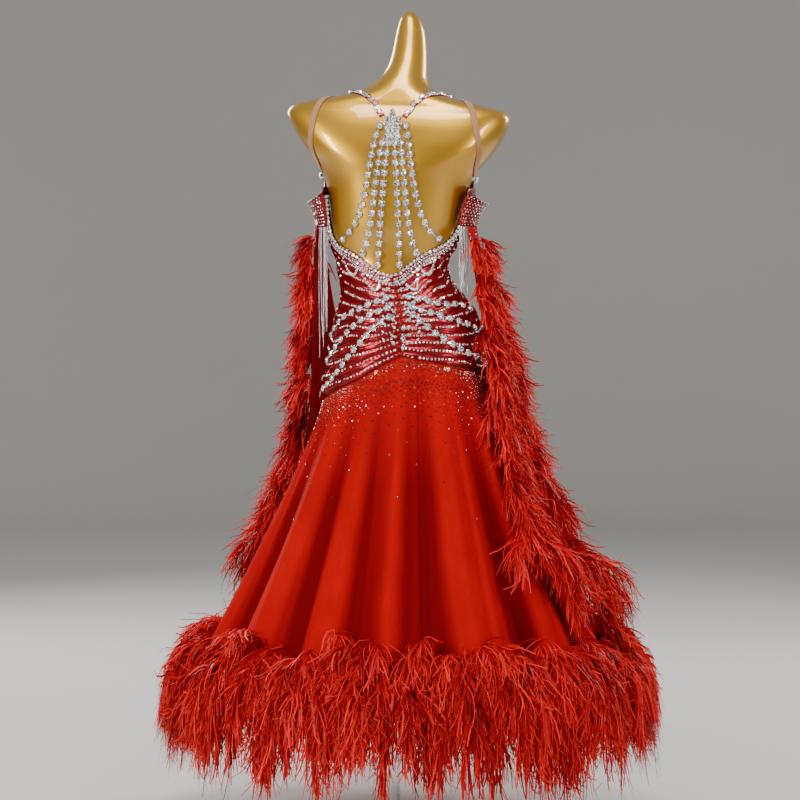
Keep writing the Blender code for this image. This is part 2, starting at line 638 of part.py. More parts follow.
def clear_drop(foot):
    """How far a strand may hang from a point before it meets the bodice or the skirt."""
    angles = np.linspace(-math.pi, math.pi, 145)
    level = SWAG_TOP + 0.07
    while level > 0.88:
        level -= 0.005
        off = BACK_CLEARANCE + GATHER_AT_SIDE + WALL + (2 * CRYSTAL_RADIUS if level < SWAG_TOP else 0.001)
        edge = body_point(angles, np.full_like(angles, level), off)
        centre = section(np.array(level))["centre_x"]
        heading = np.arctan2(foot.x - centre, -foot.y)
        limit = np.interp(heading, angles, np.hypot(edge[:, 0] - centre, edge[:, 1]))
        if math.hypot(foot.x - centre, foot.y) < limit:
            break
    return foot.z - level - 0.006


def through(points, count):
    """Count points evenly spaced along a smooth curve through the given points."""
    points = np.array(points, float)
    ends = np.vstack([2 * points[0] - points[1], points, 2 * points[-1] - points[-2]])
    t = np.linspace(0, 1, 12, endpoint=False)[:, None]
    pieces = []
    for a, b, c, d in zip(ends[:-3], ends[1:-2], ends[2:-1], ends[3:]):
        pieces.append(0.5 * (2 * b + (c - a) * t + (2 * a - 5 * b + 4 * c - d) * t**2 + (3 * b - a - 3 * c + d) * t**3))
    fine = np.vstack([*pieces, points[-1:]])
    travelled = np.concatenate([[0], np.cumsum(np.linalg.norm(np.diff(fine, axis=0), axis=1))])
    wanted = np.linspace(0, travelled[-1], count)
    return np.stack([np.interp(wanted, travelled, fine[:, k]) for k in range(fine.shape[1])], axis=-1)


def route_length(points):
    fine = through(points, 200)
    return float(np.linalg.norm(np.diff(fine, axis=0), axis=1).sum())


def chain_points(route):
    """Points along a chain: even ones are links, odd ones crystals."""
    count = max(2, round(route_length(route) / CHAIN_SPACING))
    return [Vector(point) for point in through(route, 2 * count + 1)]


def crystal_chain(name, points):
    """A cup chain: crystals joined by thin links, as a tube whose radius swells at each crystal."""
    curve = bpy.data.curves.new(name, "CURVE")
    curve.dimensions = "3D"
    curve.bevel_depth = CRYSTAL_RADIUS
    curve.bevel_resolution = 0
    curve.use_fill_caps = True
    spline = curve.splines.new("POLY")
    spline.points.add(len(points) - 1)
    for i, point in enumerate(points):
        spline.points[i].co = (*point, 1)
        spline.points[i].radius = 1.0 if i % 2 else LINK_RADIUS / CRYSTAL_RADIUS
    keep(bpy.data.objects.new(name, curve), "crystal")


def centre_line(level):
    """x of the form's centre back."""
    return float(np.interp(level, (1.13, 1.42), (-0.002, 0.008)))


def body_tree():
    """The form's faces, to rest straps and chains on."""
    points = form_points()
    rows, count = points.shape[:2]
    flat = [tuple(point) for point in points.reshape(-1, 3)]
    faces = [
        (r * count + c, r * count + (c + 1) % count, (r + 1) * count + (c + 1) % count, (r + 1) * count + c)
        for r in range(rows - 1)
        for c in range(count)
    ]
    return BVHTree.FromPolygons(flat, faces)


def taut(levels, depths):
    """Depths drawn tight, so that a hanging chain bridges the hollows of the back."""
    tight = list(depths)
    for i in range(len(levels)):
        for j in range(i):
            for k in range(i + 1, len(levels)):
                share = (levels[i] - levels[j]) / (levels[k] - levels[j])
                tight[i] = min(tight[i], depths[j] + share * (depths[k] - depths[j]))
    return tight


def clear_of(tree, point, standoff):
    """The point, moved out along the surface's normal if it is nearer than the standoff."""
    _, normal, _, distance = tree.find_nearest(point)
    return point + normal * max(0.0, standoff - distance)


def seat(points, reach, towards, trees):
    """Moves a chain as one towards what carries it, until its nearest crystal all but touches.

    A four-sided crystal reaches only a share of its radius towards what it lies on.
    """
    crystals = points[1::2]
    for _ in range(4):
        near = [min(tree.find_nearest(point)[3] for tree in trees) for point in crystals]
        spare = min(near) - CRYSTAL_RADIUS * reach - SEAT_GAP
        points = [point + way * spare for point, way in zip(points, towards)]
        crystals = points[1::2]
    return points


def make_back_chains(tree):
    for side, word in ((-1, "left"), (1, "right")):
        for number, route in enumerate(CHAIN_ROUTES, start=1):
            flat = through(route, 16)
            places = [(centre_line(level) + side * away, level) for away, level in flat]
            standoff = CRYSTAL_RADIUS + 0.0009
            depths = [tree.ray_cast(Vector((x, -1, level)), Vector((0, 1, 0)))[0].y - standoff for x, level in places]
            length = np.concatenate([[0], np.cumsum(np.linalg.norm(np.diff(flat, axis=0), axis=1))])
            tight = taut(length, depths)
            route = [clear_of(tree, Vector((x, y, level)), standoff) for (x, level), y in zip(places, tight)]
            points = chain_points(route)
            points = seat(points, 0.91, [Vector((0, 1, 0))] * len(points), [tree])
            crystal_chain(f"back_chain_{word}_{number}", points)


def make_swags():
    """Swags of crystals that rest on the crests of the ruched folds."""
    graph = bpy.context.evaluated_depsgraph_get()
    lift = BACK_CLEARANCE + GATHER_AT_SIDE + WALL + CRYSTAL_RADIUS + 0.001
    for name, route in SWAG_ROUTES.items():
        panel = "bodice_back_left" if "left" in name else "bodice_back_right"
        trees = [BVHTree.FromObject(bpy.data.objects[panel], graph)]
        flat = through(route, 60)
        points = chain_points(body_point(np.radians(flat[:, 0]), flat[:, 1], lift))
        inwards = [-trees[0].find_nearest(point)[1] for point in points]
        inwards = [Vector((way.x, way.y, 0)).normalized() for way in inwards]
        crystal_chain(name, seat(points, 0.86, inwards, trees))


def make_strap(name, tree, route, side, width, colour):
    """A band laid on the form: each station finds the surface at its middle and at both edges."""
    centre = 0.008
    points = [(centre + side * away, y, level) for away, y, level in route]
    points = [(x, y, level + float(tilt(x, level))) for x, y, level in points]
    stations = through(points, max(8, round(route_length(points) / 0.0095)))
    on_body = [tree.find_nearest(Vector(point)) for point in stations]
    rows = []
    for i, (middle, normal, _, _) in enumerate(on_body):
        ahead = on_body[min(i + 1, len(on_body) - 1)][0] - on_body[max(i - 1, 0)][0]
        across = ahead.cross(normal).normalized() * (width / 2)
        row = []
        for share in (-1, 0, 1):
            place, out, _, _ = tree.find_nearest(middle + across * share)
            row.append(place + out * STRAP_LIFT)
        rows.append(row)
    grid = np.array([[tuple(point) for point in row] for row in rows])
    cloth(name, grid, colour, wall=STRAP_WALL)


def make_nape_ornament(tree):
    """Plate of pointed stones, flat, where the two stoned straps and the chains meet."""
    x = centre_line(ORNAMENT_LEVEL)
    right = list(ORNAMENT_OUTLINE)
    left = [(-across, up) for across, up in right[-2:0:-1]]
    outline = right + left
    depths = [
        tree.ray_cast(Vector((x + across, -1, ORNAMENT_LEVEL + up)), Vector((0, 1, 0)))[0].y
        for across, up in outline
    ]
    curve = bpy.data.curves.new("nape_ornament", "CURVE")
    curve.dimensions = "2D"
    curve.fill_mode = "BOTH"
    curve.extrude = ORNAMENT_THICK / 2
    spline = curve.splines.new("POLY")
    spline.points.add(len(outline) - 1)
    for point, (across, up) in zip(spline.points, outline):
        point.co = (across, up, 0, 1)
    spline.use_cyclic_u = True
    plate = bpy.data.objects.new("nape_ornament", curve)
    plate.location = (x, min(depths) - ORNAMENT_THICK / 2 - 0.0008, ORNAMENT_LEVEL)
    plate.rotation_euler = (math.pi / 2, 0, 0)
    keep(plate, "crystal")


def main():
    clear_scene()
    collection = bpy.data.collections.new("ballroom_dress")
    bpy.context.scene.collection.children.link(collection)
    make_form()
    make_stand()
    bodice_panel("bodice_back_left", np.linspace(-90, 0, BACK_COLUMNS), BACK_GATHERS)
    bodice_panel("bodice_back_right", np.linspace(0, 90, BACK_COLUMNS), BACK_GATHERS)
    bodice_panel("bodice_front", FRONT_COLUMNS, FRONT_GATHERS)
    make_skirt()
    make_hem_feathers()
    tree = body_tree()
    for side, word in ((-1, "left"), (1, "right")):
        make_armband(f"armband_{word}", side)
        make_float(f"float_{word}", side)
        make_float_feathers(f"float_feathers_{word}", side)
        make_bead_fringe(f"bead_fringe_{word}", side)
        make_strap(f"stoned_strap_{word}", tree, STONED_STRAP, side, 0.011, "satin")
        make_strap(f"elastic_strap_{word}", tree, ELASTIC_STRAP, side, 0.012, "elastic")
    make_back_chains(tree)
    make_swags()
    make_nape_ornament(tree)


main()
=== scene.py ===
"""Ballroom dance dress on a gold dress form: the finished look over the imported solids, in metres."""

import math

import bpy
import numpy as np
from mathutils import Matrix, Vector
from mathutils.bvhtree import BVHTree


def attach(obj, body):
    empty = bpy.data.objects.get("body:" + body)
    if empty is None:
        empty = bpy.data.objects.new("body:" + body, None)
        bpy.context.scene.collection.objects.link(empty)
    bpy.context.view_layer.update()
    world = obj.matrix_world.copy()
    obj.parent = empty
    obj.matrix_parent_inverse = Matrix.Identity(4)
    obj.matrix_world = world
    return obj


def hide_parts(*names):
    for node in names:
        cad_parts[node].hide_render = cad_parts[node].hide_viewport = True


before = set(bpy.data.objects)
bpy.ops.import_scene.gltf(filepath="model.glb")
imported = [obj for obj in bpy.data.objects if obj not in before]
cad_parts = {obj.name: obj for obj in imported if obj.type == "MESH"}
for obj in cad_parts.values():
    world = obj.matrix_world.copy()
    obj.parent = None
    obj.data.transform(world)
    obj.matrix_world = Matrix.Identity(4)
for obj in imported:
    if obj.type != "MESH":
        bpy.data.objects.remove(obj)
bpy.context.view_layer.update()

bl_info = {
    "name": "Ballroom Dress",
    "version": (1, 0, 0),
    "blender": (4, 5, 0),
    "location": "3D View > Sidebar > Dress",
    "description": "Builds a feather-trimmed ballroom dress and its dress form over the packed solids",
    "category": "Add Mesh",
}

# The dress form's sections, as in the solids: level, half width, depth behind and in front of the
# centre, centre x, centre y, and the power of the superellipse.
FORM_COLUMNS = ("level", "half_width", "behind", "front", "centre_x", "centre_y", "power")
FORM_SECTIONS = (
    (0.712, 0.138, 0.092, 0.088, 0.028, 0.000, 2.2),
    (0.740, 0.151, 0.102, 0.096, 0.028, 0.000, 2.2),
    (0.800, 0.162, 0.118, 0.102, 0.027, 0.000, 2.2),
    (0.860, 0.167, 0.124, 0.104, 0.027, 0.000, 2.2),
    (0.910, 0.161, 0.121, 0.105, 0.027, 0.000, 2.1),
    (0.950, 0.1535, 0.113, 0.104, 0.028, 0.000, 2.1),
    (1.002, 0.143, 0.098, 0.100, 0.028, 0.000, 2.1),
    (1.030, 0.1355, 0.089, 0.096, 0.026, 0.001, 2.1),
    (1.070, 0.116, 0.076, 0.088, 0.016, 0.003, 2.1),
    (1.100, 0.106, 0.069, 0.083, 0.003, 0.004, 2.1),
    (1.132, 0.105, 0.067, 0.082, -0.003, 0.005, 2.1),
    (1.170, 0.121, 0.073, 0.088, -0.001, 0.006, 2.1),
    (1.204, 0.131, 0.081, 0.095, 0.003, 0.006, 2.1),
    (1.260, 0.139, 0.089, 0.103, 0.007, 0.006, 2.2),
    (1.300, 0.148, 0.093, 0.100, 0.009, 0.006, 2.3),
    (1.328, 0.163, 0.095, 0.092, 0.010, 0.006, 2.4),
    (1.350, 0.182, 0.094, 0.084, 0.010, 0.007, 2.6),
    (1.392, 0.210, 0.084, 0.070, 0.009, 0.008, 2.9),
    (1.426, 0.2225, 0.070, 0.057, 0.008, 0.008, 2.9),
    (1.440, 0.214, 0.062, 0.052, 0.008, 0.009, 2.8),
    (1.448, 0.190, 0.059, 0.050, 0.008, 0.009, 2.6),
    (1.458, 0.142, 0.056, 0.049, 0.009, 0.010, 2.5),
    (1.468, 0.098, 0.053, 0.048, 0.010, 0.011, 2.4),
    (1.480, 0.068, 0.050, 0.047, 0.011, 0.013, 2.2),
    (1.494, 0.0545, 0.047, 0.045, 0.014, 0.017, 2.1),
    (1.510, 0.0445, 0.043, 0.042, 0.019, 0.023, 2.0),
    (1.540, 0.037, 0.038, 0.038, 0.025, 0.034, 2.0),
    (1.570, 0.033, 0.034, 0.034, 0.027, 0.044, 2.0),
    (1.600, 0.0285, 0.029, 0.029, 0.0275, 0.051, 2.0),
    (1.628, 0.019, 0.020, 0.020, 0.026, 0.055, 2.0),
    (1.640, 0.008, 0.009, 0.009, 0.025, 0.056, 2.0),
)
SIDES = ((-1, "left"), (1, "right"))
UP = np.array([0, 0, 1.0])
SHOULDER_TILT, TILT_FROM, TILT_TO = 0.048, 1.20, 1.40
BACK_CLEARANCE, FRONT_CLEARANCE = 0.0023, 0.0050
WALL = 0.002

# Bodice edges: angle from the centre back in degrees, and level
YOKE_EDGE = (
    (-180, 0.880), (-150, 0.864), (-120, 0.853), (-90, 0.852), (-60, 0.872), (-30, 0.902),
    (0, 0.950), (30, 0.934), (60, 0.920), (90, 0.908), (120, 0.897), (150, 0.887), (180, 0.880),
)
NECKLINE = (
    (0, 1.108), (10, 1.115), (20, 1.128), (30, 1.142), (40, 1.154), (50, 1.163), (60, 1.172),
    (70, 1.190), (80, 1.236), (90, 1.295), (105, 1.305), (120, 1.315), (135, 1.330),
    (150, 1.338), (160, 1.345), (170, 1.302), (180, 1.248),
)
GATHER_AT_CENTRE, GATHER_AT_SIDE = 0.0020, 0.0030
BACK_GATHERS, FRONT_GATHERS, BACK_STRENGTH = 13, 6, 1.35

HEM_LEVEL, HEM_RADIUS, HEM_CENTRE_X = 0.340, 0.395, 0.030
FLARE_POWER, FOLD_POWER = 1.15, 1.3
EDGE_GAP = 0.0014
# Flutes of the skirt: crest angle, half width in degrees, height at the hem
FLUTES = (
    (-176, 12, 0.030), (-153, 11, 0.026), (-131, 11, 0.030), (-109, 10, 0.026),
    (-89, 10, 0.030), (-67, 10, 0.030), (-42, 11, 0.034), (-19, 9, 0.024), (-2, 8, 0.018),
    (29, 15, 0.034), (54, 10, 0.022), (75, 10, 0.034), (97, 10, 0.026), (118, 11, 0.030),
    (140, 11, 0.028), (162, 11, 0.030),
)
GORE_SEAMS = {"skirt_gore_right": 11.25, "skirt_gore_front_right": 101.25,
              "skirt_gore_front_left": 191.25, "skirt_gore_left": 281.25}

BAND_ANGLE, BAND_HALF_ANGLE, BAND_INNER = 88, 27, 0.0096
# Armband rows: level at the body side, level at the outer side, half thickness of the loop
BAND_ROWS = (
    (1.205, 1.205, 0.010), (1.232, 1.226, 0.0105), (1.258, 1.243, 0.013), (1.284, 1.252, 0.0165),
)
FLOAT_TOP, FLOAT_END_BACK, FLOAT_END_FRONT = 1.2038, 0.600, 0.480
# Floats: level, back edge's angle, front edge's angle
FLOAT_EDGES = {
    "right": ((0.47, 45, 116), (0.60, 50, 115), (0.80, 60, 112), (1.00, 67, 109), (1.20, 72, 106)),
    "left": ((0.47, 104, 152), (0.60, 102, 148), (0.80, 97, 137), (1.00, 87, 124), (1.20, 74, 108)),
}
FLOAT_CLEAR, FLOAT_HANG_SLOPE, FLOAT_WALL = 0.012, 0.105, 0.0015

# Back chains: distance from the centre line, and level
CHAIN_ROUTES = (
    (
        (0.0235, 1.410), (0.033, 1.374), (0.042, 1.316), (0.053, 1.258), (0.067, 1.215), (0.087, 1.186),
        (0.105, 1.1755),
    ),
    ((0.0165, 1.376), (0.024, 1.325), (0.031, 1.265), (0.038, 1.208), (0.048, 1.166), (0.058, 1.142)),
    ((0.0055, 1.375), (0.011, 1.312), (0.015, 1.254), (0.0185, 1.192), (0.022, 1.1185)),
)
# Swags on the ruching: angle and level
SWAG_ROUTES = {
    "crystal_swag_left_1": ((-5, 1.066), (-22, 1.054), (-37, 1.040), (-57, 1.022), (-80, 0.985)),
    "crystal_swag_left_2": (
        (-5, 1.048), (-18, 1.036), (-30, 1.023), (-45, 0.996), (-57, 0.968), (-74, 0.935),
    ),
    "crystal_swag_left_3": (
        (-5, 1.030), (-17, 1.012), (-28, 0.981), (-38, 0.952), (-47, 0.922), (-58, 0.896), (-70, 0.880),
    ),
    "crystal_swag_right_1": ((6, 1.068), (21, 1.060), (37, 1.052), (59, 1.050), (75, 1.038)),
    "crystal_swag_right_2": ((6, 1.050), (16, 1.040), (30, 1.029), (47, 1.018), (68, 1.003), (79, 0.994)),
    "crystal_swag_right_3": (
        (6, 1.036), (13, 1.020), (24, 0.995), (38, 0.973), (53, 0.954), (70, 0.940), (80, 0.931),
    ),
}
CHAIN_SPACING = 0.0195
CRYSTAL_RADIUS, LINK_RADIUS = 0.006, 0.0012
ORNAMENT_LEVEL = 1.409

# Straps: distance from the centre line, y and level of points near the shoulder
STONED_STRAP = (
    (0.021, -0.092, 1.430), (0.036, -0.078, 1.453), (0.056, -0.060, 1.470), (0.075, -0.040, 1.480),
    (0.093, -0.012, 1.480), (0.100, 0.025, 1.465), (0.095, 0.055, 1.430), (0.085, 0.080, 1.385),
    (0.076, 0.096, 1.349),
)
ELASTIC_STRAP = (
    (0.1485, 0.011, 1.304), (0.153, -0.020, 1.324), (0.163, -0.045, 1.352), (0.164, -0.062, 1.388),
    (0.160, -0.060, 1.420), (0.151, -0.045, 1.445), (0.140, -0.020, 1.458), (0.129, 0.010, 1.460),
    (0.120, 0.038, 1.445), (0.115, 0.060, 1.410), (0.112, 0.078, 1.372), (0.111, 0.088, 1.338),
)


def hex_rgb(code):
    """Linear red, green and blue of an sRGB hex colour."""
    parts = np.array([int(code[i : i + 2], 16) / 255 for i in (1, 3, 5)])
    return tuple(np.where(parts <= 0.04045, parts / 12.92, ((parts + 0.055) / 1.055) ** 2.4))


class DressLook(bpy.types.PropertyGroup):
    """Colours and sizes that a user of the dress would change."""

    satin: bpy.props.FloatVectorProperty(
        name="Satin", description="Ruched bodice and bands", subtype="COLOR", default=hex_rgb("#950713")
    )
    chiffon: bpy.props.FloatVectorProperty(
        name="Chiffon", description="Skirt and floats", subtype="COLOR", default=hex_rgb("#D0000C")
    )
    feather: bpy.props.FloatVectorProperty(
        name="Feather", description="Ostrich barb at its root", subtype="COLOR", default=hex_rgb("#C4000A")
    )
    # Tip colour: a painted highlight on the thin ends of the barbs
    feather_tip: bpy.props.FloatVectorProperty(
        name="Feather tip", description="Thin ends of the barbs", subtype="COLOR", default=hex_rgb("#FF4038")
    )
    gold: bpy.props.FloatVectorProperty(
        name="Gold", description="Lacquer of the dress form", subtype="COLOR", default=hex_rgb("#C8931F")
    )
    barb_width: bpy.props.FloatProperty(
        name="Barb width", description="Width of a feather barb at its root", unit="LENGTH", default=0.0040
    )
    hem_plumes: bpy.props.IntProperty(
        name="Hem plumes", description="Plumes round the hem", default=920, min=30
    )
    float_plumes: bpy.props.IntProperty(
        name="Float plumes", description="Plumes on each float", default=225, min=20
    )
    stone: bpy.props.FloatProperty(
        name="Small stone", description="Diameter of a stone on the folds", unit="LENGTH", default=0.0046
    )


def look():
    return bpy.context.scene.dress_look


# Forms shared by several pieces


def smooth_table(at, knots, values):
    """Cubic through the knots that never overshoots: each slope is the harmonic mean of its neighbours."""
    at = np.clip(at, knots[0], knots[-1])
    steps = np.diff(knots)
    rises = np.diff(values) / steps
    together = rises[1:] * rises[:-1] > 0
    total = np.where(together, rises[1:] + rises[:-1], 1.0)
    inner = np.where(together, 2 * rises[1:] * rises[:-1] / total, 0.0)
    slopes = np.concatenate([rises[:1], inner, rises[-1:]])
    i = np.clip(np.searchsorted(knots, at, side="right") - 1, 0, len(knots) - 2)
    t = (at - knots[i]) / steps[i]
    start, end = (1 + 2 * t) * (1 - t) ** 2, t * t * (3 - 2 * t)
    leave, arrive = t * (1 - t) ** 2 * steps[i], t * t * (t - 1) * steps[i]
    return start * values[i] + end * values[i + 1] + leave * slopes[i] + arrive * slopes[i + 1]


def section(level):
    """The section table's columns at a level, smoothed between its rows."""
    table = np.array(FORM_SECTIONS).T
    return {name: smooth_table(level, table[0], column) for name, column in zip(FORM_COLUMNS, table)}


def bump(distance, spread):
    """Bell curve: e to the negative square of distance over spread."""
    return np.exp(-((distance / spread) ** 2))


def relief(angle, level):
    """Soft modelling of the form: spine hollow, shoulder blades and the two cups of the bust."""
    degrees = np.abs(np.degrees(angle))
    spine = -0.006 * bump(degrees, 11) * bump(level - 1.27, 0.13)
    blades = 0.005 * bump(degrees - 38, 18) * bump(level - 1.35, 0.05)
    cups = 0.020 * bump(degrees - 149, 16) * bump(level - 1.245, 0.045)
    return spine + blades + cups


def tilt(x, level):
    """Drop of the shoulders towards the right: a share of x that eases in between two levels."""
    share = np.clip((level - TILT_FROM) / (TILT_TO - TILT_FROM), 0, 1)
    return -SHOULDER_TILT * x * share * share * (3 - 2 * share)


def turn(angle):
    """The angle in degrees, brought to -180 to 180."""
    return (np.degrees(angle) + 180) % 360 - 180


def outward_of(angle):
    """Unit vector away from the upright axis, with angle 0 to the back."""
    return np.stack([np.sin(angle), -np.cos(angle), np.zeros_like(angle)], axis=-1)


def body_point(angle, level, offset=0.0):
    """Superellipse of each level with the relief and an offset added to its radii."""
    angle, level = np.broadcast_arrays(np.asarray(angle, float), np.asarray(level, float))
    at = section(level)
    out = offset + relief(np.radians(turn(angle)), level)
    sine, cosine = np.sin(angle), np.cos(angle)
    power = 2 / at["power"]
    depth = np.where(cosine > 0, at["behind"], at["front"]) + out
    x = at["centre_x"] + (at["half_width"] + out) * np.sign(sine) * np.abs(sine) ** power
    y = at["centre_y"] - depth * np.sign(cosine) * np.abs(cosine) ** power
    return np.stack([x, y, level + tilt(x, level)], axis=-1)


def clearance(angle):
    """Gap between form and cloth, wider in front of the sides."""
    share = np.clip((np.abs(turn(angle)) - 90) / 30, 0, 1)
    return BACK_CLEARANCE + (FRONT_CLEARANCE - BACK_CLEARANCE) * share


def yoke_level(angle):
    """Level of the seam between bodice and skirt, straight between the table's points."""
    edge = np.array(YOKE_EDGE).T
    return np.interp(turn(angle), edge[0], edge[1])


def neckline_level(angle):
    """Level of the bodice's upper edge, straight between the table's points."""
    edge = np.array(NECKLINE).T
    return np.interp(np.abs(turn(angle)), edge[0], edge[1])


def fold_wander(angle, share):
    """How far a fold strays from its level, in fold spacings: the sum of two slow sines."""
    return 0.20 * np.sin(3.1 * angle + 1.3) + 0.12 * np.sin(7 * angle + 9 * share)


def gather_size(angle):
    """Height of the folds, which grows from the centre to the sides with the squared sine."""
    return GATHER_AT_CENTRE + (GATHER_AT_SIDE - GATHER_AT_CENTRE) * np.sin(angle) ** 2


def gather_height(angle, share, gathers, strength=1.0):
    """Ruched folds that run round the body: rounded ridges with finer creases between them.

    A ridge is the absolute sine of half the fold's phase, so that its valleys are narrow creases.
    A crease is a raised cosine of a faster phase. Both phases waver along the fold.
    """
    phase = gathers * share + fold_wander(angle, share)
    ridge = np.abs(np.sin(np.pi * phase)) ** 0.9
    crease_phase = 2.4 * gathers * share + 0.9 * np.sin(5 * angle + 5 * share) + 1.7 * np.abs(angle)
    crease = 0.5 - 0.5 * np.cos(2 * np.pi * crease_phase)
    edges = np.clip(np.minimum(share, 1 - share) / 0.02, 0, 1)
    return strength * gather_size(angle) * edges * (0.95 * ridge + 0.35 * crease)


def bodice_point(angle, share, gathers=BACK_GATHERS, strength=BACK_STRENGTH):
    """Point on the bodice, share 0 at the yoke's edge and 1 at the neckline."""
    low, high = yoke_level(angle), neckline_level(angle)
    height = gather_height(angle, share, gathers, strength)
    return body_point(angle, low + share * (high - low), clearance(angle) + height)


def flute_height(angle):
    """Raised cosines side by side, one for each flute, each to the power 0.62 so that valleys are narrow."""
    degrees = turn(angle)
    height = np.zeros_like(degrees)
    for crest, half_width, most in FLUTES:
        away = np.abs((degrees - crest + 180) % 360 - 180) / half_width
        dome = np.clip(0.5 * (1 + np.cos(np.pi * np.minimum(away, 1))), 0, 1) ** 0.62
        height = np.maximum(height, most * dome)
    return height


def skirt_point(angle, share, flutes=True, out=0.0):
    """Straight rulings from the yoke's edge to the hem circle, plus flutes that grow towards the hem."""
    top = body_point(angle, yoke_level(angle), clearance(angle))
    top[..., 2] -= EDGE_GAP
    outward = outward_of(angle)
    hem = HEM_RADIUS * outward + np.array([HEM_CENTRE_X, 0, HEM_LEVEL])
    blend = np.stack([share**FLARE_POWER, share**FLARE_POWER, share], axis=-1)
    height = flute_height(angle) if flutes else np.full_like(angle, max(row[2] for row in FLUTES))
    return top + (hem - top) * blend + outward * (height * share**FOLD_POWER + out)[..., None]


def ripple(angle, share):
    """Small folds between the flutes: leaning waves that grow towards the hem and drift on their way down.

    A leaning wave is the sine of a phase plus 0.6 times the sine of that phase, so one flank is steeper.
    """
    drift = 0.5 * np.sin(2.2 * share + 2 * angle)
    first = 14 * angle + drift + 0.9 * np.sin(3 * angle)
    second = 43 * angle - 2 * drift + 1.1
    waves = np.sin(first + 0.6 * np.sin(first)) + 0.35 * np.sin(second + 0.6 * np.sin(second))
    return (0.0006 + 0.0085 * share) * waves * np.clip(share * 6, 0, 1)


def skirt_cloth(angle, share):
    """The skirt's surface with its small folds."""
    return skirt_point(angle, share) + outward_of(angle) * ripple(angle, share)[..., None]


def band_point(side, turn_round, level, half, extra=0.0):
    """Point on an armband's loop: it goes out, back, in and forward round the loop."""
    angle = side * np.radians(BAND_ANGLE + BAND_HALF_ANGLE * np.cos(turn_round))
    return body_point(angle, level, BAND_INNER + half * (1 + np.sin(turn_round)) + extra)


def float_axis(level):
    """x of the axis that a float hangs round."""
    return np.interp(level, (0.9, 1.2), (HEM_CENTRE_X, 0.003))


def float_radius(angle, level):
    """Larger of the cloth's own hang and the skirt's flutes below it, with the corner rounded off."""
    centre = float_axis(level)
    top = body_point(angle, np.full_like(angle, FLOAT_TOP), BAND_INNER + 2 * BAND_ROWS[0][2])
    hang = np.hypot(top[..., 0] - 0.003, top[..., 1]) + FLOAT_HANG_SLOPE * (FLOAT_TOP - level)
    yoke = yoke_level(angle)
    share = np.clip((yoke - level) / (yoke - HEM_LEVEL), 0, 1)
    under = skirt_point(angle, share, flutes=False)
    above = body_point(angle, np.maximum(level, yoke), clearance(angle) + GATHER_AT_SIDE + WALL)
    covered = np.where((share > 0)[..., None], under, above)
    lies = np.hypot(covered[..., 0] - centre, covered[..., 1]) + WALL + FLOAT_CLEAR
    softness = 0.001 + 0.012 * np.clip((FLOAT_TOP - level) / 0.1, 0, 1)
    return 0.5 * (hang + lies + np.hypot(hang - lies, softness))


def float_point(side, across, down, extra=0.0):
    """Point on a float, across 0 at its back edge and 1 at its front edge, down 0 at the top."""
    end = FLOAT_END_BACK + (FLOAT_END_FRONT - FLOAT_END_BACK) * across
    level = FLOAT_TOP + (end - FLOAT_TOP) * down
    edges = np.array(FLOAT_EDGES["right" if side > 0 else "left"]).T
    back, front = (np.interp(level, edges[0], column) for column in edges[1:])
    angle = side * np.radians(back + (front - back) * across)
    pleat = 0.006 * down * (1 - np.cos(across * 6 * np.pi)) / 2
    fine = 0.0022 * (0.25 + down) * np.sin(across * 22 * np.pi + 1.5 * np.sin(3 * down))
    radius = float_radius(angle, level) + pleat + fine + extra
    return np.stack([float_axis(level) + radius * np.sin(angle), -radius * np.cos(angle), level], axis=-1)


def distances(points):
    """Distance travelled along a path at each of its points."""
    return np.concatenate([[0], np.cumsum(np.linalg.norm(np.diff(points, axis=0), axis=1))])


def through(points, count):
    """Evenly spaced points on the Catmull-Rom curve through the given ones."""
    points = np.array(points, float)
    ends = np.vstack([2 * points[0] - points[1], points, 2 * points[-1] - points[-2]])
    t = np.linspace(0, 1, 12, endpoint=False)[:, None]
    pieces = []
    for a, b, c, d in zip(ends[:-3], ends[1:-2], ends[2:-1], ends[3:]):
        bend = (2 * a - 5 * b + 4 * c - d) * t**2 + (3 * b - a - 3 * c + d) * t**3
        pieces.append(0.5 * (2 * b + (c - a) * t + bend))
    fine = np.vstack([*pieces, points[-1:]])
    travelled = distances(fine)
    wanted = np.linspace(0, travelled[-1], count)
    return np.stack([np.interp(wanted, travelled, fine[:, k]) for k in range(fine.shape[1])], axis=-1)


def path_length(points):
    """Length of a path through points."""
    return float(np.linalg.norm(np.diff(points, axis=0), axis=1).sum())


def unit(vectors):
    """The vectors at length 1."""
    return vectors / np.maximum(np.linalg.norm(vectors, axis=-1, keepdims=True), 1e-12)


# Meshes


def grid_faces(rows, columns, ring=False):
    """Quads of a grid whose rows run up and whose columns run with the angle, so that they face out."""
    last = columns if ring else columns - 1
    r, c = np.meshgrid(np.arange(rows - 1), np.arange(last), indexing="ij")
    d = (c + 1) % columns
    a, b = r * columns + c, r * columns + d
    return np.stack([a, b, b + columns, a + columns], axis=-1).reshape(-1, 4)


def fan_faces(columns, first, tip, over=True):
    """Triangles between a ring of points and a tip, facing up where the tip lies over the ring."""
    k = np.arange(columns)
    ahead = (k + 1) % columns
    a, b = (k, ahead) if over else (ahead, k)
    return np.stack([first + a, first + b, np.full(columns, tip)], axis=-1)


def closed_grid(grid, low_tip, high_tip):
    """Points and faces of rings in rows, closed by a tip under the first row and one over the last."""
    rows, columns = grid.shape[:2]
    points = np.concatenate([grid.reshape(-1, 3), [low_tip, high_tip]])
    under = fan_faces(columns, 0, rows * columns, over=False)
    over = fan_faces(columns, (rows - 1) * columns, rows * columns + 1)
    return points, [grid_faces(rows, columns, ring=True), under, over]


def turned(profile, sides=96):
    """Grid of a profile of (radius, level) turned about the upright axis."""
    ring = outward_of(np.linspace(0, 2 * np.pi, sides, endpoint=False))
    return profile[:, None, :1] * ring + profile[:, None, 1:] * UP


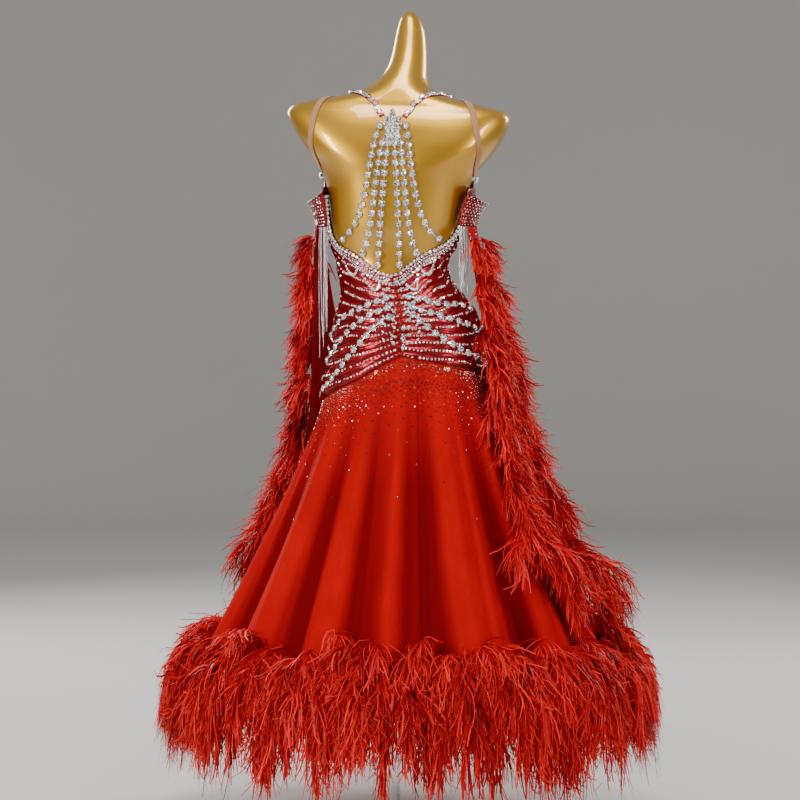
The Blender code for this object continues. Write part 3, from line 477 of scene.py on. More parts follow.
def halves(quads):
    """Each quad as two triangles."""
    return np.concatenate([quads[:, [0, 1, 2]], quads[:, [0, 2, 3]]])


def make_piece(name, points, faces, finish, smooth=True, values=None, domain="POINT"):
    """Object from arrays of points and of faces; faces may be several arrays with unlike corner counts."""
    faces = faces if isinstance(faces, list) else [faces]
    corners = np.concatenate([part.ravel() for part in faces]).astype(np.int32)
    sizes = np.concatenate([np.full(len(part), part.shape[1]) for part in faces])
    starts = np.concatenate([[0], np.cumsum(sizes)[:-1]]).astype(np.int32)
    mesh = bpy.data.meshes.new(name)
    points = np.asarray(points, float).reshape(-1, 3)
    mesh.vertices.add(len(points))
    mesh.vertices.foreach_set("co", points.astype(np.float32).ravel())
    mesh.loops.add(len(corners))
    mesh.loops.foreach_set("vertex_index", corners)
    mesh.polygons.add(len(sizes))
    mesh.polygons.foreach_set("loop_start", starts)
    mesh.polygons.foreach_set("use_smooth", np.full(len(sizes), smooth))
    for key, column in (values or {}).items():
        layer = mesh.attributes.new(key, "FLOAT", domain)
        layer.data.foreach_set("value", np.asarray(column, np.float32).ravel())
    mesh.update(calc_edges=True)
    mesh.validate()
    mesh.materials.append(material(finish))
    piece = bpy.data.objects.new(name, mesh)
    bpy.context.scene.collection.objects.link(piece)
    return piece


def seat_piece(piece, slot, *nodes):
    """Joins a finished piece to the frame."""
    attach(piece, "root")
    if nodes:
        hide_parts(*nodes)


def crisp_edges(piece, degrees):
    """Keeps edges sharper than the angle crisp."""
    piece.data.set_sharp_from_angle(angle=math.radians(degrees))


def grid_area(points):
    """Area of a grid of points, each cell as two triangles."""
    a, b, c, d = points[:-1, :-1], points[:-1, 1:], points[1:, 1:], points[1:, :-1]
    doubled = [np.linalg.norm(np.cross(v - a, w - a), axis=-1) for v, w in ((b, c), (c, d))]
    return float((doubled[0] + doubled[1]).sum() / 2)


def declare_cloth(points):
    """Works out a sheet's flat cut from the grid's own widest row, longest column and area, and keeps none of
    it.
    """
    columns = points.transpose(1, 0, 2)
    width = max(path_length(row) for row in points[:: max(1, len(points) // 12)])
    length = max(path_length(column) for column in columns[:: max(1, len(columns) // 12)])
    area = min(grid_area(points), width * length)
    area = max(area, LEAST_AREA_SHARE * width * length)


LEAST_AREA_SHARE = 0.31
CLOTH_FINISH = {"satin": "stretch_satin", "chiffon": "layered_chiffon", "elastic": "ribbed_elastic"}


def make_cloth(name, points, slot, node, wall, values, ring=False):
    """Sheet of cloth from a grid, with its wall and its place in the frame; its flat cut is worked out but
    not kept.
    """
    faces = grid_faces(*points.shape[:2], ring=ring)
    piece = make_piece(name, points, faces, CLOTH_FINISH[slot], values=values)
    thickness = piece.modifiers.new("wall", "SOLIDIFY")
    thickness.thickness = wall
    thickness.offset = 1.0
    sewn = np.concatenate([points, points[:, :1]], axis=1) if ring else points
    declare_cloth(sewn)
    seat_piece(piece, slot, node)


def tube(points, radius, sides=6):
    """Tube along a path: each ring turns round the tangent from a steady side direction."""
    tangent = unit(np.gradient(points, axis=0))
    steady = (0.31, -0.2, 0.93) if abs(tangent[:, 2]).mean() < 0.8 else (0.9, -0.4, 0.1)
    across = unit(np.cross(tangent, steady))
    over = np.cross(tangent, across)
    turns = np.linspace(0, 2 * np.pi, sides, endpoint=False)
    radius = np.broadcast_to(radius, len(points))[:, None, None]
    ring = np.cos(turns)[None, :, None] * across[:, None] + np.sin(turns)[None, :, None] * over[:, None]
    return points[:, None] + ring * radius, grid_faces(len(points), sides, ring=True)[:, ::-1]


def join(parts):
    """One array of points and one of faces from several pairs of them."""
    points, faces, start = [], [], 0
    for some, corners in parts:
        some = np.asarray(some).reshape(-1, 3)
        points.append(some)
        faces.append(corners + start)
        start += len(some)
    return np.concatenate(points), np.concatenate(faces)


def cut_stone(count, rings, tips=0.0):
    """Cut stone of radius 1 with a flat table: rings of (radius, height, share of a step turned).

    With tips above 0 the outline is a pointed oval, tips wide and 1 long on each side.
    """
    points, faces = [], []
    k = np.arange(count)
    for radius, height, shift in rings:
        turns = (k + shift) * 2 * np.pi / count
        x, y = radius * np.sin(turns), radius * np.cos(turns)
        if tips:
            x = np.sign(np.round(x, 9)) * radius * tips * (1 - np.abs(np.cos(turns)) ** 1.6)
        points.append(np.stack([x, y, np.full(count, height)], axis=-1))
    for level, (lower, upper) in enumerate(zip(rings, rings[1:])):
        a, b = level * count + k, level * count + (k + 1) % count
        c, d = a + count, b + count
        pairs = ((a, c, b), (b, c, d)) if upper[2] > lower[2] else ((a, d, b), (a, c, d))
        faces += [np.stack(corners, axis=-1) for corners in pairs]
    points = np.concatenate([*points, [[0, 0, rings[-1][1]]]])
    top = (len(rings) - 1) * count + k
    faces.append(np.stack([top, np.full(count, len(points) - 1), np.roll(top, -1)], axis=-1))
    faces = np.concatenate(faces)
    corners = points[faces]
    lean = np.cross(corners[:, 1] - corners[:, 0], corners[:, 2] - corners[:, 0])[:, 2].sum()
    return points, faces if lean > 0 else faces[:, ::-1]


SMALL_STONE = cut_stone(8, ((1.0, 0.0, 0), (0.60, 0.50, 0.5)))
TINY_STONE = cut_stone(6, ((1.0, 0.0, 0), (0.55, 0.50, 0.5)))
ROUND_BRILLIANT = cut_stone(12, ((1.0, 0.0, 0), (1.0, 0.2, 0), (0.80, 0.42, 0.5), (0.50, 0.60, 0)))
MARQUISE = cut_stone(12, ((1.0, 0.0, 0), (0.98, 0.16, 0), (0.60, 0.46, 0)), tips=0.52)


def place_stones(stone, places, normals, ups, sizes):
    """Copies of a stone: x across, y along up, z along the normal, each times its own size."""
    shape, faces = stone
    normals = unit(np.broadcast_to(np.asarray(normals, float), (len(places), 3)))
    across = unit(np.cross(ups, normals))
    ups = np.cross(normals, across)
    sizes = np.broadcast_to(np.asarray(sizes, float), (len(places),))[:, None, None]
    local = shape[None] * sizes
    points = (
        np.asarray(places)[:, None]
        + local[..., 0:1] * across[:, None]
        + local[..., 1:2] * ups[:, None]
        + local[..., 2:3] * normals[:, None]
    )
    offsets = np.arange(len(places)) * len(shape)
    return points.reshape(-1, 3), (faces[None] + offsets[:, None, None]).reshape(-1, 3)


# Painted reflections: facet tones from dark to light, and how often each is drawn
FACET_TONES, FACET_SHARES = (0.0, 0.3, 0.75, 1.0), (0.26, 0.18, 0.22, 0.34)


def make_stones(name, groups, seed, *nodes, finish="clear_crystal"):
    """Seats groups of stones as one piece, with a tone for each facet.

    The tones are uneven at random, as painted reflections: a foil-backed stone shows light and dark facets at
    once.
    """
    points, faces = join(groups)
    tones = np.random.default_rng(seed).choice(FACET_TONES, size=len(faces), p=FACET_SHARES)
    piece = make_piece(name, points, faces, finish, smooth=False, values={"facet": tones}, domain="FACE")
    seat_piece(piece, "crystal", *nodes)


def raised(point_at, lift):
    """Places a lift above a surface and the directions away from it, from a point function of the lift."""
    here = point_at(lift)
    return here, unit(point_at(lift + 0.001) - here)


# Materials


def feed(tree, node, inputs):
    """Sets each input to its value, or links it where the value is another node's output."""
    for key, value in inputs.items():
        if isinstance(value, bpy.types.NodeSocket):
            tree.links.new(value, node.inputs[key])
        else:
            node.inputs[key].default_value = value


def add_node(tree, inputs, kind, output=0, **settings):
    """Adds a node, sets its properties, feeds its inputs and returns one of its outputs."""
    made = tree.nodes.new(kind)
    for key, value in settings.items():
        setattr(made, key, value)
    feed(tree, made, inputs)
    return made.outputs[output]


# Settings of nodes that several materials add: inputs 0, 6 and 7 of the mix are factor, low and high
COLOUR_MIX = {"kind": "ShaderNodeMix", "output": 2, "data_type": "RGBA"}
OBJECT_PLACE = {"kind": "ShaderNodeTexCoord", "output": "Object"}
CLOTH_VALUE = {"kind": "ShaderNodeAttribute", "output": "Fac"}


def new_material(name, **values):
    """Material with its Principled shader and values set directly on it."""
    made = bpy.data.materials.new(name)
    made.use_nodes = True
    tree = made.node_tree
    shader = tree.nodes["Principled BSDF"]
    feed(tree, shader, {key.replace("_", " "): value for key, value in values.items()})
    return made, tree, shader


def rgba(colour, share=1.0):
    """Colour for a socket, from an sRGB hex code or a linear colour, times a share."""
    parts = hex_rgb(colour) if isinstance(colour, str) else colour
    return (*(min(1.0, part * share) for part in parts), 1.0)


def let_light_through(tree, shader, colour, share):
    """Makes a share of the surface translucent, in the same colour."""
    glow = add_node(tree, {"Color": colour}, "ShaderNodeBsdfTranslucent")
    both = add_node(tree, {0: share, 1: shader.outputs[0], 2: glow}, "ShaderNodeMixShader")
    feed(tree, tree.nodes["Material Output"], {"Surface": both})


def gold_lacquer():
    """Metallic gold lacquer sprayed on glass fibre: a tight highlight over a broad soft one."""
    made, tree, shader = new_material(
        "gold_lacquer", Metallic=0.80, Roughness=0.34, Coat_Weight=1.0, Coat_Roughness=0.02
    )
    gold = look().gold
    place = add_node(tree, {}, **OBJECT_PLACE)
    # Uneven spray in patches of about 140 mm
    cloud = add_node(tree, {"Vector": place, "Scale": 7.0, "Detail": 3.0}, "ShaderNodeTexNoise")
    tone = add_node(tree, {0: cloud, 6: rgba(gold, 0.86), 7: rgba(gold, 1.12)}, **COLOUR_MIX)
    # Orange peel of about 4 mm, coarser than real so that it shows
    peel = add_node(tree, {"Vector": place, "Scale": 260.0, "Detail": 2.0}, "ShaderNodeTexNoise")
    lift = add_node(tree, {"Height": peel, "Distance": 0.00012, "Strength": 0.5}, "ShaderNodeBump")
    feed(tree, shader, {"Base Color": tone, "Normal": lift})
    return made


def stretch_satin():
    """Warp-knit stretch satin: liquid shine on folds, creases darkened with painted shade, and fine wrinkles
    along the folds.
    """
    made, tree, shader = new_material("stretch_satin", Roughness=0.19, Metallic=0.6)
    satin = look().satin
    place = add_node(tree, {}, **OBJECT_PLACE)
    crest, around, folds = (
        add_node(tree, {}, **CLOTH_VALUE, attribute_name=name) for name in ("crest", "around", "folds")
    )
    # Shade drifts over about 33 mm, and wrinkles lie along the folds, about half a fold apart
    drift = add_node(tree, {"Vector": place, "Scale": 30.0, "Detail": 4.0}, "ShaderNodeTexNoise")
    tone = add_node(tree, {0: drift, 6: rgba(satin, 0.62), 7: rgba(satin, 1.45)}, **COLOUR_MIX)
    # Painted shade: the satin turns darker where the crest value is low, in the creases between folds
    shaded = add_node(tree, {0: crest, 6: rgba(satin, 0.24), 7: tone}, **COLOUR_MIX)
    cloth = add_node(tree, {"X": around, "Y": folds}, "ShaderNodeCombineXYZ")
    wrinkle = add_node(tree, {"Vector": cloth, "Scale": 2.2, "Detail": 3.0}, "ShaderNodeTexNoise")
    lift = add_node(tree, {"Height": wrinkle, "Distance": 0.0035, "Strength": 0.9}, "ShaderNodeBump")
    feed(tree, shader, {"Base Color": shaded, "Normal": lift})
    return made


def layered_chiffon():
    """Silk-like polyester chiffon in several layers: matte, crinkled yarn, with light coming through and
    painted shade in the valleys of its folds.
    """
    made, tree, shader = new_material(
        "layered_chiffon", Roughness=0.75, Sheen_Weight=0.10, Sheen_Roughness=0.4,
        Sheen_Tint=rgba("#FF1008"), Specular_IOR_Level=0.08,
    )
    chiffon = look().chiffon
    place = add_node(tree, {}, **OBJECT_PLACE)
    crest = add_node(tree, {}, **CLOTH_VALUE, attribute_name="crest")
    # Shade drifts over about 70 mm round the skirt and 400 mm down it
    stretched = add_node(tree, {"Vector": place, "Scale": (9.0, 9.0, 1.6)}, "ShaderNodeMapping")
    drift = add_node(tree, {"Vector": stretched, "Scale": 1.6, "Detail": 4.0}, "ShaderNodeTexNoise")
    dyed = add_node(tree, {0: drift, 6: rgba(chiffon, 0.72), 7: rgba(chiffon, 1.2)}, **COLOUR_MIX)
    # Painted shade: darker where the crest value is low, in the valleys between flutes and pleats
    tone = add_node(tree, {0: crest, 6: rgba(chiffon, 0.40), 7: dyed}, **COLOUR_MIX)
    # Crinkles of about 2 mm, coarser than the yarn so that they show
    crinkle = add_node(tree, {"Vector": place, "Scale": 420.0, "Detail": 3.0}, "ShaderNodeTexNoise")
    lift = add_node(tree, {"Height": crinkle, "Distance": 0.0003, "Strength": 0.4}, "ShaderNodeBump")
    feed(tree, shader, {"Base Color": tone, "Normal": lift})
    let_light_through(tree, shader, tone, 0.42)
    return made


def ostrich_feather():
    """Dyed ostrich barbs: matte and uneven in dye from plume to plume, with painted highlights: a light tip
    colour on the thin ends and some fully light barbs.
    """
    made, tree, shader = new_material("ostrich_feather", Roughness=0.45, Specular_IOR_Level=0.15)
    feather = look().feather
    tone, along = (add_node(tree, {}, **CLOTH_VALUE, attribute_name=name) for name in ("tone", "along"))
    dye_and_highlight = add_node(tree, {0: tone, 6: rgba(feather, 0.34), 7: rgba(feather, 1.60)}, **COLOUR_MIX)
    # Painted highlight: a light tip colour towards the ends, strongest on the barbs whose tone is high
    ends = add_node(tree, {0: along, 1: tone}, "ShaderNodeMath", operation="MULTIPLY")
    part = add_node(tree, {0: ends, 1: 1.5}, "ShaderNodeMath", operation="POWER")
    colour = add_node(tree, {0: part, 6: dye_and_highlight, 7: rgba(look().feather_tip)}, **COLOUR_MIX)
    feed(tree, shader, {"Base Color": colour})
    let_light_through(tree, shader, colour, 0.30)
    return made


def foiled_crystal(name, dark, light, metallic, sparkle):
    """Foil-backed cut glass with painted reflections: each facet's colour is set light or dark as if it
    mirrored its own patch of the room, and the lightest facets glow with a painted glint.
    """
    made, tree, shader = new_material(
        name, Metallic=metallic, Roughness=0.06, Coat_Weight=1.0, Coat_Roughness=0.02
    )
    facet = add_node(tree, {}, **CLOTH_VALUE, attribute_name="facet")
    colour = add_node(tree, {0: facet, 6: rgba(dark), 7: rgba(light)}, **COLOUR_MIX)
    # Painted glint: the lightest facets glow, more with a larger sparkle
    spark = add_node(tree, {0: facet, 1: 6.0}, "ShaderNodeMath", operation="POWER")
    glint = add_node(tree, {0: spark, 1: sparkle}, "ShaderNodeMath", operation="MULTIPLY")
    feed(tree, shader, {"Base Color": colour, "Emission Color": colour, "Emission Strength": glint})
    return made


def plated_setting():
    """Rhodium-plated claw settings: bright silver metal, slightly worn."""
    made, tree, shader = new_material("plated_setting", Metallic=1.0, Roughness=0.22)
    place = add_node(tree, {}, **OBJECT_PLACE)
    # Worn spots of about 3 mm
    wear = add_node(tree, {"Vector": place, "Scale": 300.0, "Detail": 2.0}, "ShaderNodeTexNoise")
    tone = add_node(tree, {0: wear, 6: rgba("#C2C5CA"), 7: rgba("#FBFCFF")}, **COLOUR_MIX)
    feed(tree, shader, {"Base Color": tone})
    return made


def bugle_glass():
    """Silver-lined glass bugle beads: shiny tubes with darker joints."""
    made, tree, shader = new_material("bugle_glass", Metallic=0.7, Roughness=0.16, Coat_Weight=0.8)
    tone = add_node(tree, {}, **CLOTH_VALUE, attribute_name="tone")
    colour = add_node(tree, {0: tone, 6: rgba("#4A3C40"), 7: rgba("#FFFFFF")}, **COLOUR_MIX)
    feed(tree, shader, {"Base Color": colour})
    return made


ELASTIC_RIBS = 6


def ribbed_elastic():
    """Woven nude elastic with ribs along its length, about 2 mm apart."""
    made, tree, shader = new_material("ribbed_elastic", Roughness=0.6, Sheen_Weight=0.3)
    across = add_node(tree, {}, **CLOTH_VALUE, attribute_name="across")
    full_turns = 2 * math.pi * ELASTIC_RIBS
    wave = add_node(tree, {0: across, 1: full_turns}, "ShaderNodeMath", operation="MULTIPLY")
    rib = add_node(tree, {0: wave}, "ShaderNodeMath", operation="SINE")
    share = add_node(tree, {0: rib, 1: 0.5, 2: 0.5}, "ShaderNodeMath", operation="MULTIPLY_ADD")
    # Painted shade: the colour follows the ribs and is darker in their troughs
    tone = add_node(tree, {0: share, 6: rgba("#8A5A34"), 7: rgba("#C68F5E")}, **COLOUR_MIX)
    lift = add_node(tree, {"Height": share, "Distance": 0.0006, "Strength": 0.8}, "ShaderNodeBump")
    feed(tree, shader, {"Base Color": tone, "Normal": lift})
    return made


def polished_chrome():
    """Chromed steel tube and base: mirror bright with a faint brushed haze."""
    made, tree, shader = new_material("polished_chrome", Metallic=1.0, Base_Color=rgba("#D9DADD"))
    place = add_node(tree, {}, **OBJECT_PLACE)
    # Hazy patches of about 17 mm
    haze = add_node(tree, {"Vector": place, "Scale": 60.0, "Detail": 3.0}, "ShaderNodeTexNoise")
    rough = add_node(tree, {"Value": haze, "To Min": 0.05, "To Max": 0.16}, "ShaderNodeMapRange")
    feed(tree, shader, {"Roughness": rough})
    return made


def matte_paper():
    """Matte studio paper, with a faint cloudiness."""
    made, tree, shader = new_material("matte_paper", Roughness=0.9)
    place = add_node(tree, {}, **OBJECT_PLACE)
    cloud = add_node(tree, {"Vector": place, "Scale": 0.5}, "ShaderNodeTexNoise")
    tone = add_node(tree, {0: cloud, 6: rgba("#CFCBC6"), 7: rgba("#D6D3CE")}, **COLOUR_MIX)
    feed(tree, shader, {"Base Color": tone})
    return made


MAKERS = (
    gold_lacquer, stretch_satin, layered_chiffon, ostrich_feather, plated_setting, bugle_glass,
    ribbed_elastic, polished_chrome, matte_paper,
)
# Dark facets, light facets, metallic, sparkle; the light and dark facets are painted reflections and the
# sparkle is a painted glow on the lightest facets
CRYSTALS = {
    "clear_crystal": ("#101216", "#FFFFFF", 0.85, 0.9),
    "hematite_crystal": ("#020203", "#34363C", 0.6, 0.05),
    "siam_crystal": ("#3A0004", "#FF5A4A", 0.7, 0.1),
    "topaz_crystal": ("#5A2408", "#E8B050", 0.7, 0.08),
}


def material(name):
    """The material of that name, made when it is first asked for."""
    found = bpy.data.materials.get(name)
    if found:
        return found
    if name in CRYSTALS:
        return foiled_crystal(name, *CRYSTALS[name])
    return next(maker for maker in MAKERS if maker.__name__ == name)()


# The dress form


def form_grid():
    """Points of the form's surface, with closer rows over the shoulders and the neck."""
    levels = np.concatenate([np.linspace(0.712, 1.40, 92, endpoint=False), np.linspace(1.40, 1.640, 60)])
    angles = np.linspace(0, 2 * np.pi, 128, endpoint=False)
    return body_point(angles[None, :], levels[:, None])


def form_tree():
    """The form's surface to rest straps and chains on."""
    grid = form_grid()
    faces = grid_faces(*grid.shape[:2], ring=True)
    return BVHTree.FromPolygons(grid.reshape(-1, 3).tolist(), faces.tolist())


def behind(tree, x, level):
    """y of the form's back at a place across and a level."""
    hit = tree.ray_cast(Vector((x, -1, level)), Vector((0, 1, 0)))[0]
    return hit.y if hit else -0.06


def nearest(tree, points):
    """Nearest places on the surface and the normals there."""
    found = [tree.find_nearest(Vector(point)) for point in np.asarray(points).reshape(-1, 3)]
    return np.array([tuple(hit[0]) for hit in found]), np.array([tuple(hit[1]) for hit in found])


class DRESS_OT_form(bpy.types.Operator):
    """Gold lacquered dress form: a superellipse at each level, closed top and bottom"""

    bl_idname = "dress.form"
    bl_label = "Dress form"

    def execute(self, context):
        grid = form_grid()
        crown = grid[-1].mean(axis=0) + (0, 0, 0.0012)
        points, faces = closed_grid(grid, grid[0].mean(axis=0), crown)
        seat_piece(make_piece("dress_form", points, faces, "gold_lacquer"), "gold", "form_torso")
        return {"FINISHED"}


# Profiles of the stand's pieces, from the axis out and up: radius and level
STAND_PROFILES = {
    ("stand_tube", "stand_pole"): (
        (0, 0.0283), (0.0105, 0.0283), (0.0125, 0.0300), (0.0125, 0.7100), (0.0110, 0.7117), (0, 0.7117),
    ),
    ("stand_disc", "stand_base"): (
        (0, 0), (0.187, 0), (0.190, 0.0010), (0.190, 0.0050), (0.1885, 0.0066), (0.170, 0.0090),
        (0.060, 0.0112), (0.032, 0.0120), (0.028, 0.0135), (0.0265, 0.0160), (0.0215, 0.0255),
        (0.0200, 0.0280), (0.0135, 0.0280), (0, 0.0280),
    ),
}


class DRESS_OT_stand(bpy.types.Operator):
    """Chrome pole and round base: profiles turned about the upright axis"""

    bl_idname = "dress.stand"
    bl_label = "Stand"

    def execute(self, context):
        for (name, node), profile in STAND_PROFILES.items():
            profile = np.array(profile)
            low, high = profile[[0, -1], 1]
            points, faces = closed_grid(turned(profile[1:-1]), low * UP, high * UP)
            piece = make_piece(name, points, faces, "polished_chrome")
            crisp_edges(piece, 35)
            seat_piece(piece, "chrome", node)
        return {"FINISHED"}


# Bodice

# Name, first and last angle, rows, gathers, strength of the gathers, columns
BODICE_PANELS = (
    ("bodice_back_left", -90, 0, 108, BACK_GATHERS, BACK_STRENGTH, 92),
    ("bodice_back_right", 0, 90, 108, BACK_GATHERS, BACK_STRENGTH, 92),
    ("bodice_front", 90, 270, 84, 2 * FRONT_GATHERS, 0.55, 104),
)
SEAM_ANGLE = 0.0026
BODICE_WALL = WALL * 0.7


def satin_values(angle, share, gathers):
    """Place in the cloth along and across the folds, and how high each point lies on its fold, which the
    satin shows as painted shade in the creases.
    """
    height = gather_height(angle, share, gathers)
    crest = np.clip(height / gather_size(angle) * 1.2, 0, 1)
    return {"around": angle * 1.3, "folds": share * gathers, "crest": crest}


class DRESS_OT_bodice(bpy.types.Operator):
    """Ruched satin bodice: three panels that follow the form, with folds fanning from the centre back"""

    bl_idname = "dress.bodice"
    bl_label = "Bodice"

    def execute(self, context):
        for name, first, last, rows, gathers, strength, columns in BODICE_PANELS:
            angle = np.radians(np.linspace(first, last, columns))
            angle[0] += SEAM_ANGLE
            angle[-1] -= SEAM_ANGLE
            angle, share = np.meshgrid(angle, np.linspace(0, 1, rows))
            points = bodice_point(angle, share, gathers, strength)
            values = satin_values(angle, share, gathers)
            make_cloth(
                name + "_satin", points, "satin", name, BODICE_WALL, values
            )
        return {"FINISHED"}


# Skirt

SKIRT_WALL = WALL * 0.6
SKIRT_ROWS, SKIRT_COLUMNS = 56, 116


class DRESS_OT_skirt(bpy.types.Operator):
    """Chiffon skirt in four gores: straight rulings from yoke to hem circle with flutes and small folds"""

    bl_idname = "dress.skirt"
    bl_label = "Skirt"

    def execute(self, context):
        for name, first in GORE_SEAMS.items():
            angle = np.radians(np.linspace(first + 0.02, first + 89.98, SKIRT_COLUMNS))
            angle, share = np.meshgrid(angle, np.linspace(1, 0, SKIRT_ROWS))
            points = skirt_cloth(angle, share)
            # Painted shade: the crest value is low in the flute valleys and small folds, where the chiffon is
            # darkened, and stays 1 at the top of the skirt
            deep = np.clip(flute_height(angle) / 0.022 + 80 * ripple(angle, share), 0, 1)
            values = {"crest": 1 - (1 - deep) * np.clip(share * 2.5, 0, 1)}
            make_cloth(
                name + "_chiffon", points, "chiffon", name, SKIRT_WALL, values
            )
        return {"FINISHED"}


# Feathers

FEATHER_REACH, BEND_ZONE, FLOOR_CLEARANCE = 0.526, 0.12, 0.004
HEM_TUFTS = 27
HEM_BARBS, FLOAT_BARBS = 44, 38


def kept_within(points):
    """Eases each point's distance from the skirt's axis off towards a limit, and keeps it off the floor."""
    centre = np.array([HEM_CENTRE_X, 0])
    away = points[..., :2] - centre
    radius = np.linalg.norm(away, axis=-1, keepdims=True)
    free = FEATHER_REACH - BEND_ZONE
    eased = np.minimum(radius, free) + BEND_ZONE * np.tanh(np.maximum(radius - free, 0) / 0.13)
    points[..., :2] = centre + away * eased / radius
    points[..., 2] = np.maximum(points[..., 2], FLOOR_CLEARANCE)
    return points


def direction(heading, slope):
    """Unit vector of a heading round the upright axis and a slope, both in radians."""
    level = np.cos(slope)
    return np.stack([level * np.sin(heading), -level * np.cos(heading), np.sin(slope)], axis=-1)


def plume_barbs(random, quills, barbs, widest, steps=10):
    """Barbs on both sides of curved quills, with their dye and width.

    A quill's slope goes evenly from rise to drop, and its points are the running sum of its directions.
    A barb starts at a share of the quill, turned aside by up to 63 degrees and less near its end.
    Its dye is uneven from plume to plume and from barb to barb, and about one in six is fully light, a
    painted highlight.
    """
    count = len(quills["length"])
    size = (count, barbs)
    middle = (np.arange(steps) + 0.5) / steps
    heading, rise = quills["heading"][:, None], quills["rise"][:, None]
    fall = quills["drop"][:, None] - rise
    step = direction(heading, rise + fall * middle)
    line = np.cumsum(step * (quills["length"] / steps)[:, None, None], axis=1)
    line = np.concatenate([np.zeros((count, 1, 3)), line], axis=1) + quills["root"][:, None]
    share = random.uniform(0.02, 0.999, size) ** 0.9
    low = (share * steps).astype(int)
    part = (share * steps - low)[..., None]
    rows = np.arange(count)[:, None]
    aside = random.choice([-1.0, 1.0], size) * (1.1 - 0.6 * share) * random.uniform(0.15, 1, size)
    made = {
        "root": line[rows, low] * (1 - part) + line[rows, low + 1] * part,
        "heading": heading + aside,
        "rise": rise + fall * share + random.normal(0.2, 0.3, size),
        "drop": np.radians(random.normal(-80, 15, size)),
        "length": quills["barb"][:, None] * random.uniform(0.6, 1.15, size) * (1 - 0.25 * share),
        "curl": random.normal(0, 0.75, size) - 0.5 * aside,
        "flick": random.normal(0.25, 0.75, size),
        "tone": random.uniform(0, 1, (count, 1)) * 0.5 + random.uniform(0, 0.35, size),
    }
    # About one barb in six is fully light: a painted highlight strand
    made["tone"] = np.where(random.uniform(0, 1, size) < 0.16, 1.0, made["tone"])
    made["width"] = look().barb_width * random.uniform(0.5, widest, size)
    return {key: value.reshape(count * barbs, *value.shape[2:]) for key, value in made.items()}


def draw_barbs(name, barbs, segments=4):
    """Thin flat ribbons that leave at an angle, bend down, curl sideways and flick at the end.

    The slope goes from rise to drop along the length, plus the flick times the cube of the share, and
    the heading turns by the curl; the points are the running sum of those directions. The ribbon
    narrows towards its end.
    """
    tone = barbs["tone"]
    count = len(tone)
    middle = (np.arange(segments) + 0.5) / segments
    rise, drop, curl, flick = (barbs[key][:, None] for key in ("rise", "drop", "curl", "flick"))
    heading = barbs["heading"][:, None]
    slope = rise + (drop - rise) * middle**0.8 + flick * middle**3
    steps = direction(heading + curl * middle**1.5, slope) * (barbs["length"] / segments)[:, None, None]
    line = np.concatenate([np.zeros((count, 1, 3)), np.cumsum(steps, axis=1)], axis=1)
    line = line + barbs["root"][:, None]
    share = np.linspace(0, 1, segments + 1)
    side = np.stack([np.cos(heading[:, 0]), np.sin(heading[:, 0]), np.zeros(count)], axis=-1)
    twist = curl * 1.7 + tone[:, None] * 2
    flat = unit(side * np.cos(twist) + np.array([0, 0, 0.5]) * np.sin(twist))
    taper = (1 - 0.55 * share**2)[None, :, None] * (barbs["width"] / 2)[:, None, None]
    half = flat[:, None] * taper
    both = kept_within(np.stack([line - half, line + half], axis=2))
    k = np.arange(segments)
    strip = np.stack([2 * k, 2 * k + 1, 2 * k + 3, 2 * k + 2], axis=-1)
    faces = (strip[None] + (np.arange(count) * 2 * (segments + 1))[:, None, None]).reshape(-1, 4)
    values = {
        "along": np.broadcast_to(share[None, :, None], both.shape[:3]),
        "tone": np.broadcast_to(tone[:, None, None], both.shape[:3]),
    }
    return make_piece(name, both, faces, "ostrich_feather", values=values)


class DRESS_OT_hem_feathers(bpy.types.Operator):
    """Ostrich feather band at the hem: drooping plumes from the skirt's edge, in layers that fan down"""

    bl_idname = "dress.hem_feathers"
    bl_label = "Hem feathers"

    def execute(self, context):
        random = np.random.default_rng(11)
        count = look().hem_plumes
        angle = (np.arange(count) + random.uniform(0, 1, count)) * 2 * np.pi / count
        layer = random.permutation((np.arange(count) + 0.5) / count) ** 0.50
        fan = (angle * HEM_TUFTS / (2 * np.pi) + np.floor(layer * 4) * 0.37) % 1 - 0.5
        middle = np.cos(2 * np.pi * fan)
        share = 0.962 - 0.09 * (1 - layer) + 0.02 * middle + random.normal(0, 0.010, count)
        heading = angle + (1.4 - 0.9 * layer) * fan + random.normal(0, 0.30, count)
        rise = np.interp(layer, (0, 0.35, 1), (48, 12, -34)) + 12 * middle + random.normal(0, 12, count)
        drop = np.interp(layer, (0, 0.4, 1), (-40, -72, -86)) + random.normal(0, 10, count)
        length = np.interp(layer, (0, 0.4, 0.7, 1), (0.050, 0.098, 0.155, 0.180))
        quills = {
            "root": skirt_point(angle, share, out=0.006),
            "heading": heading,
            "rise": np.radians(rise),
            "drop": np.radians(drop),
            "length": length * random.uniform(0.8, 1.1, count),
            "barb": np.interp(layer, (0, 0.4, 0.7, 1), (0.074, 0.092, 0.120, 0.130)),
        }
        made = plume_barbs(random, quills, HEM_BARBS, 1.2)
        third = (np.repeat(angle, HEM_BARBS) * 3 / (2 * np.pi)).astype(int) % 3
        for part, word in enumerate(("right", "front", "left")):
            own = {key: value[third == part] for key, value in made.items()}
            piece = draw_barbs(f"hem_feathers_{word}", own)
            seat_piece(piece, "feather", *(["hem_feather_band"] if part == 0 else []))
        return {"FINISHED"}


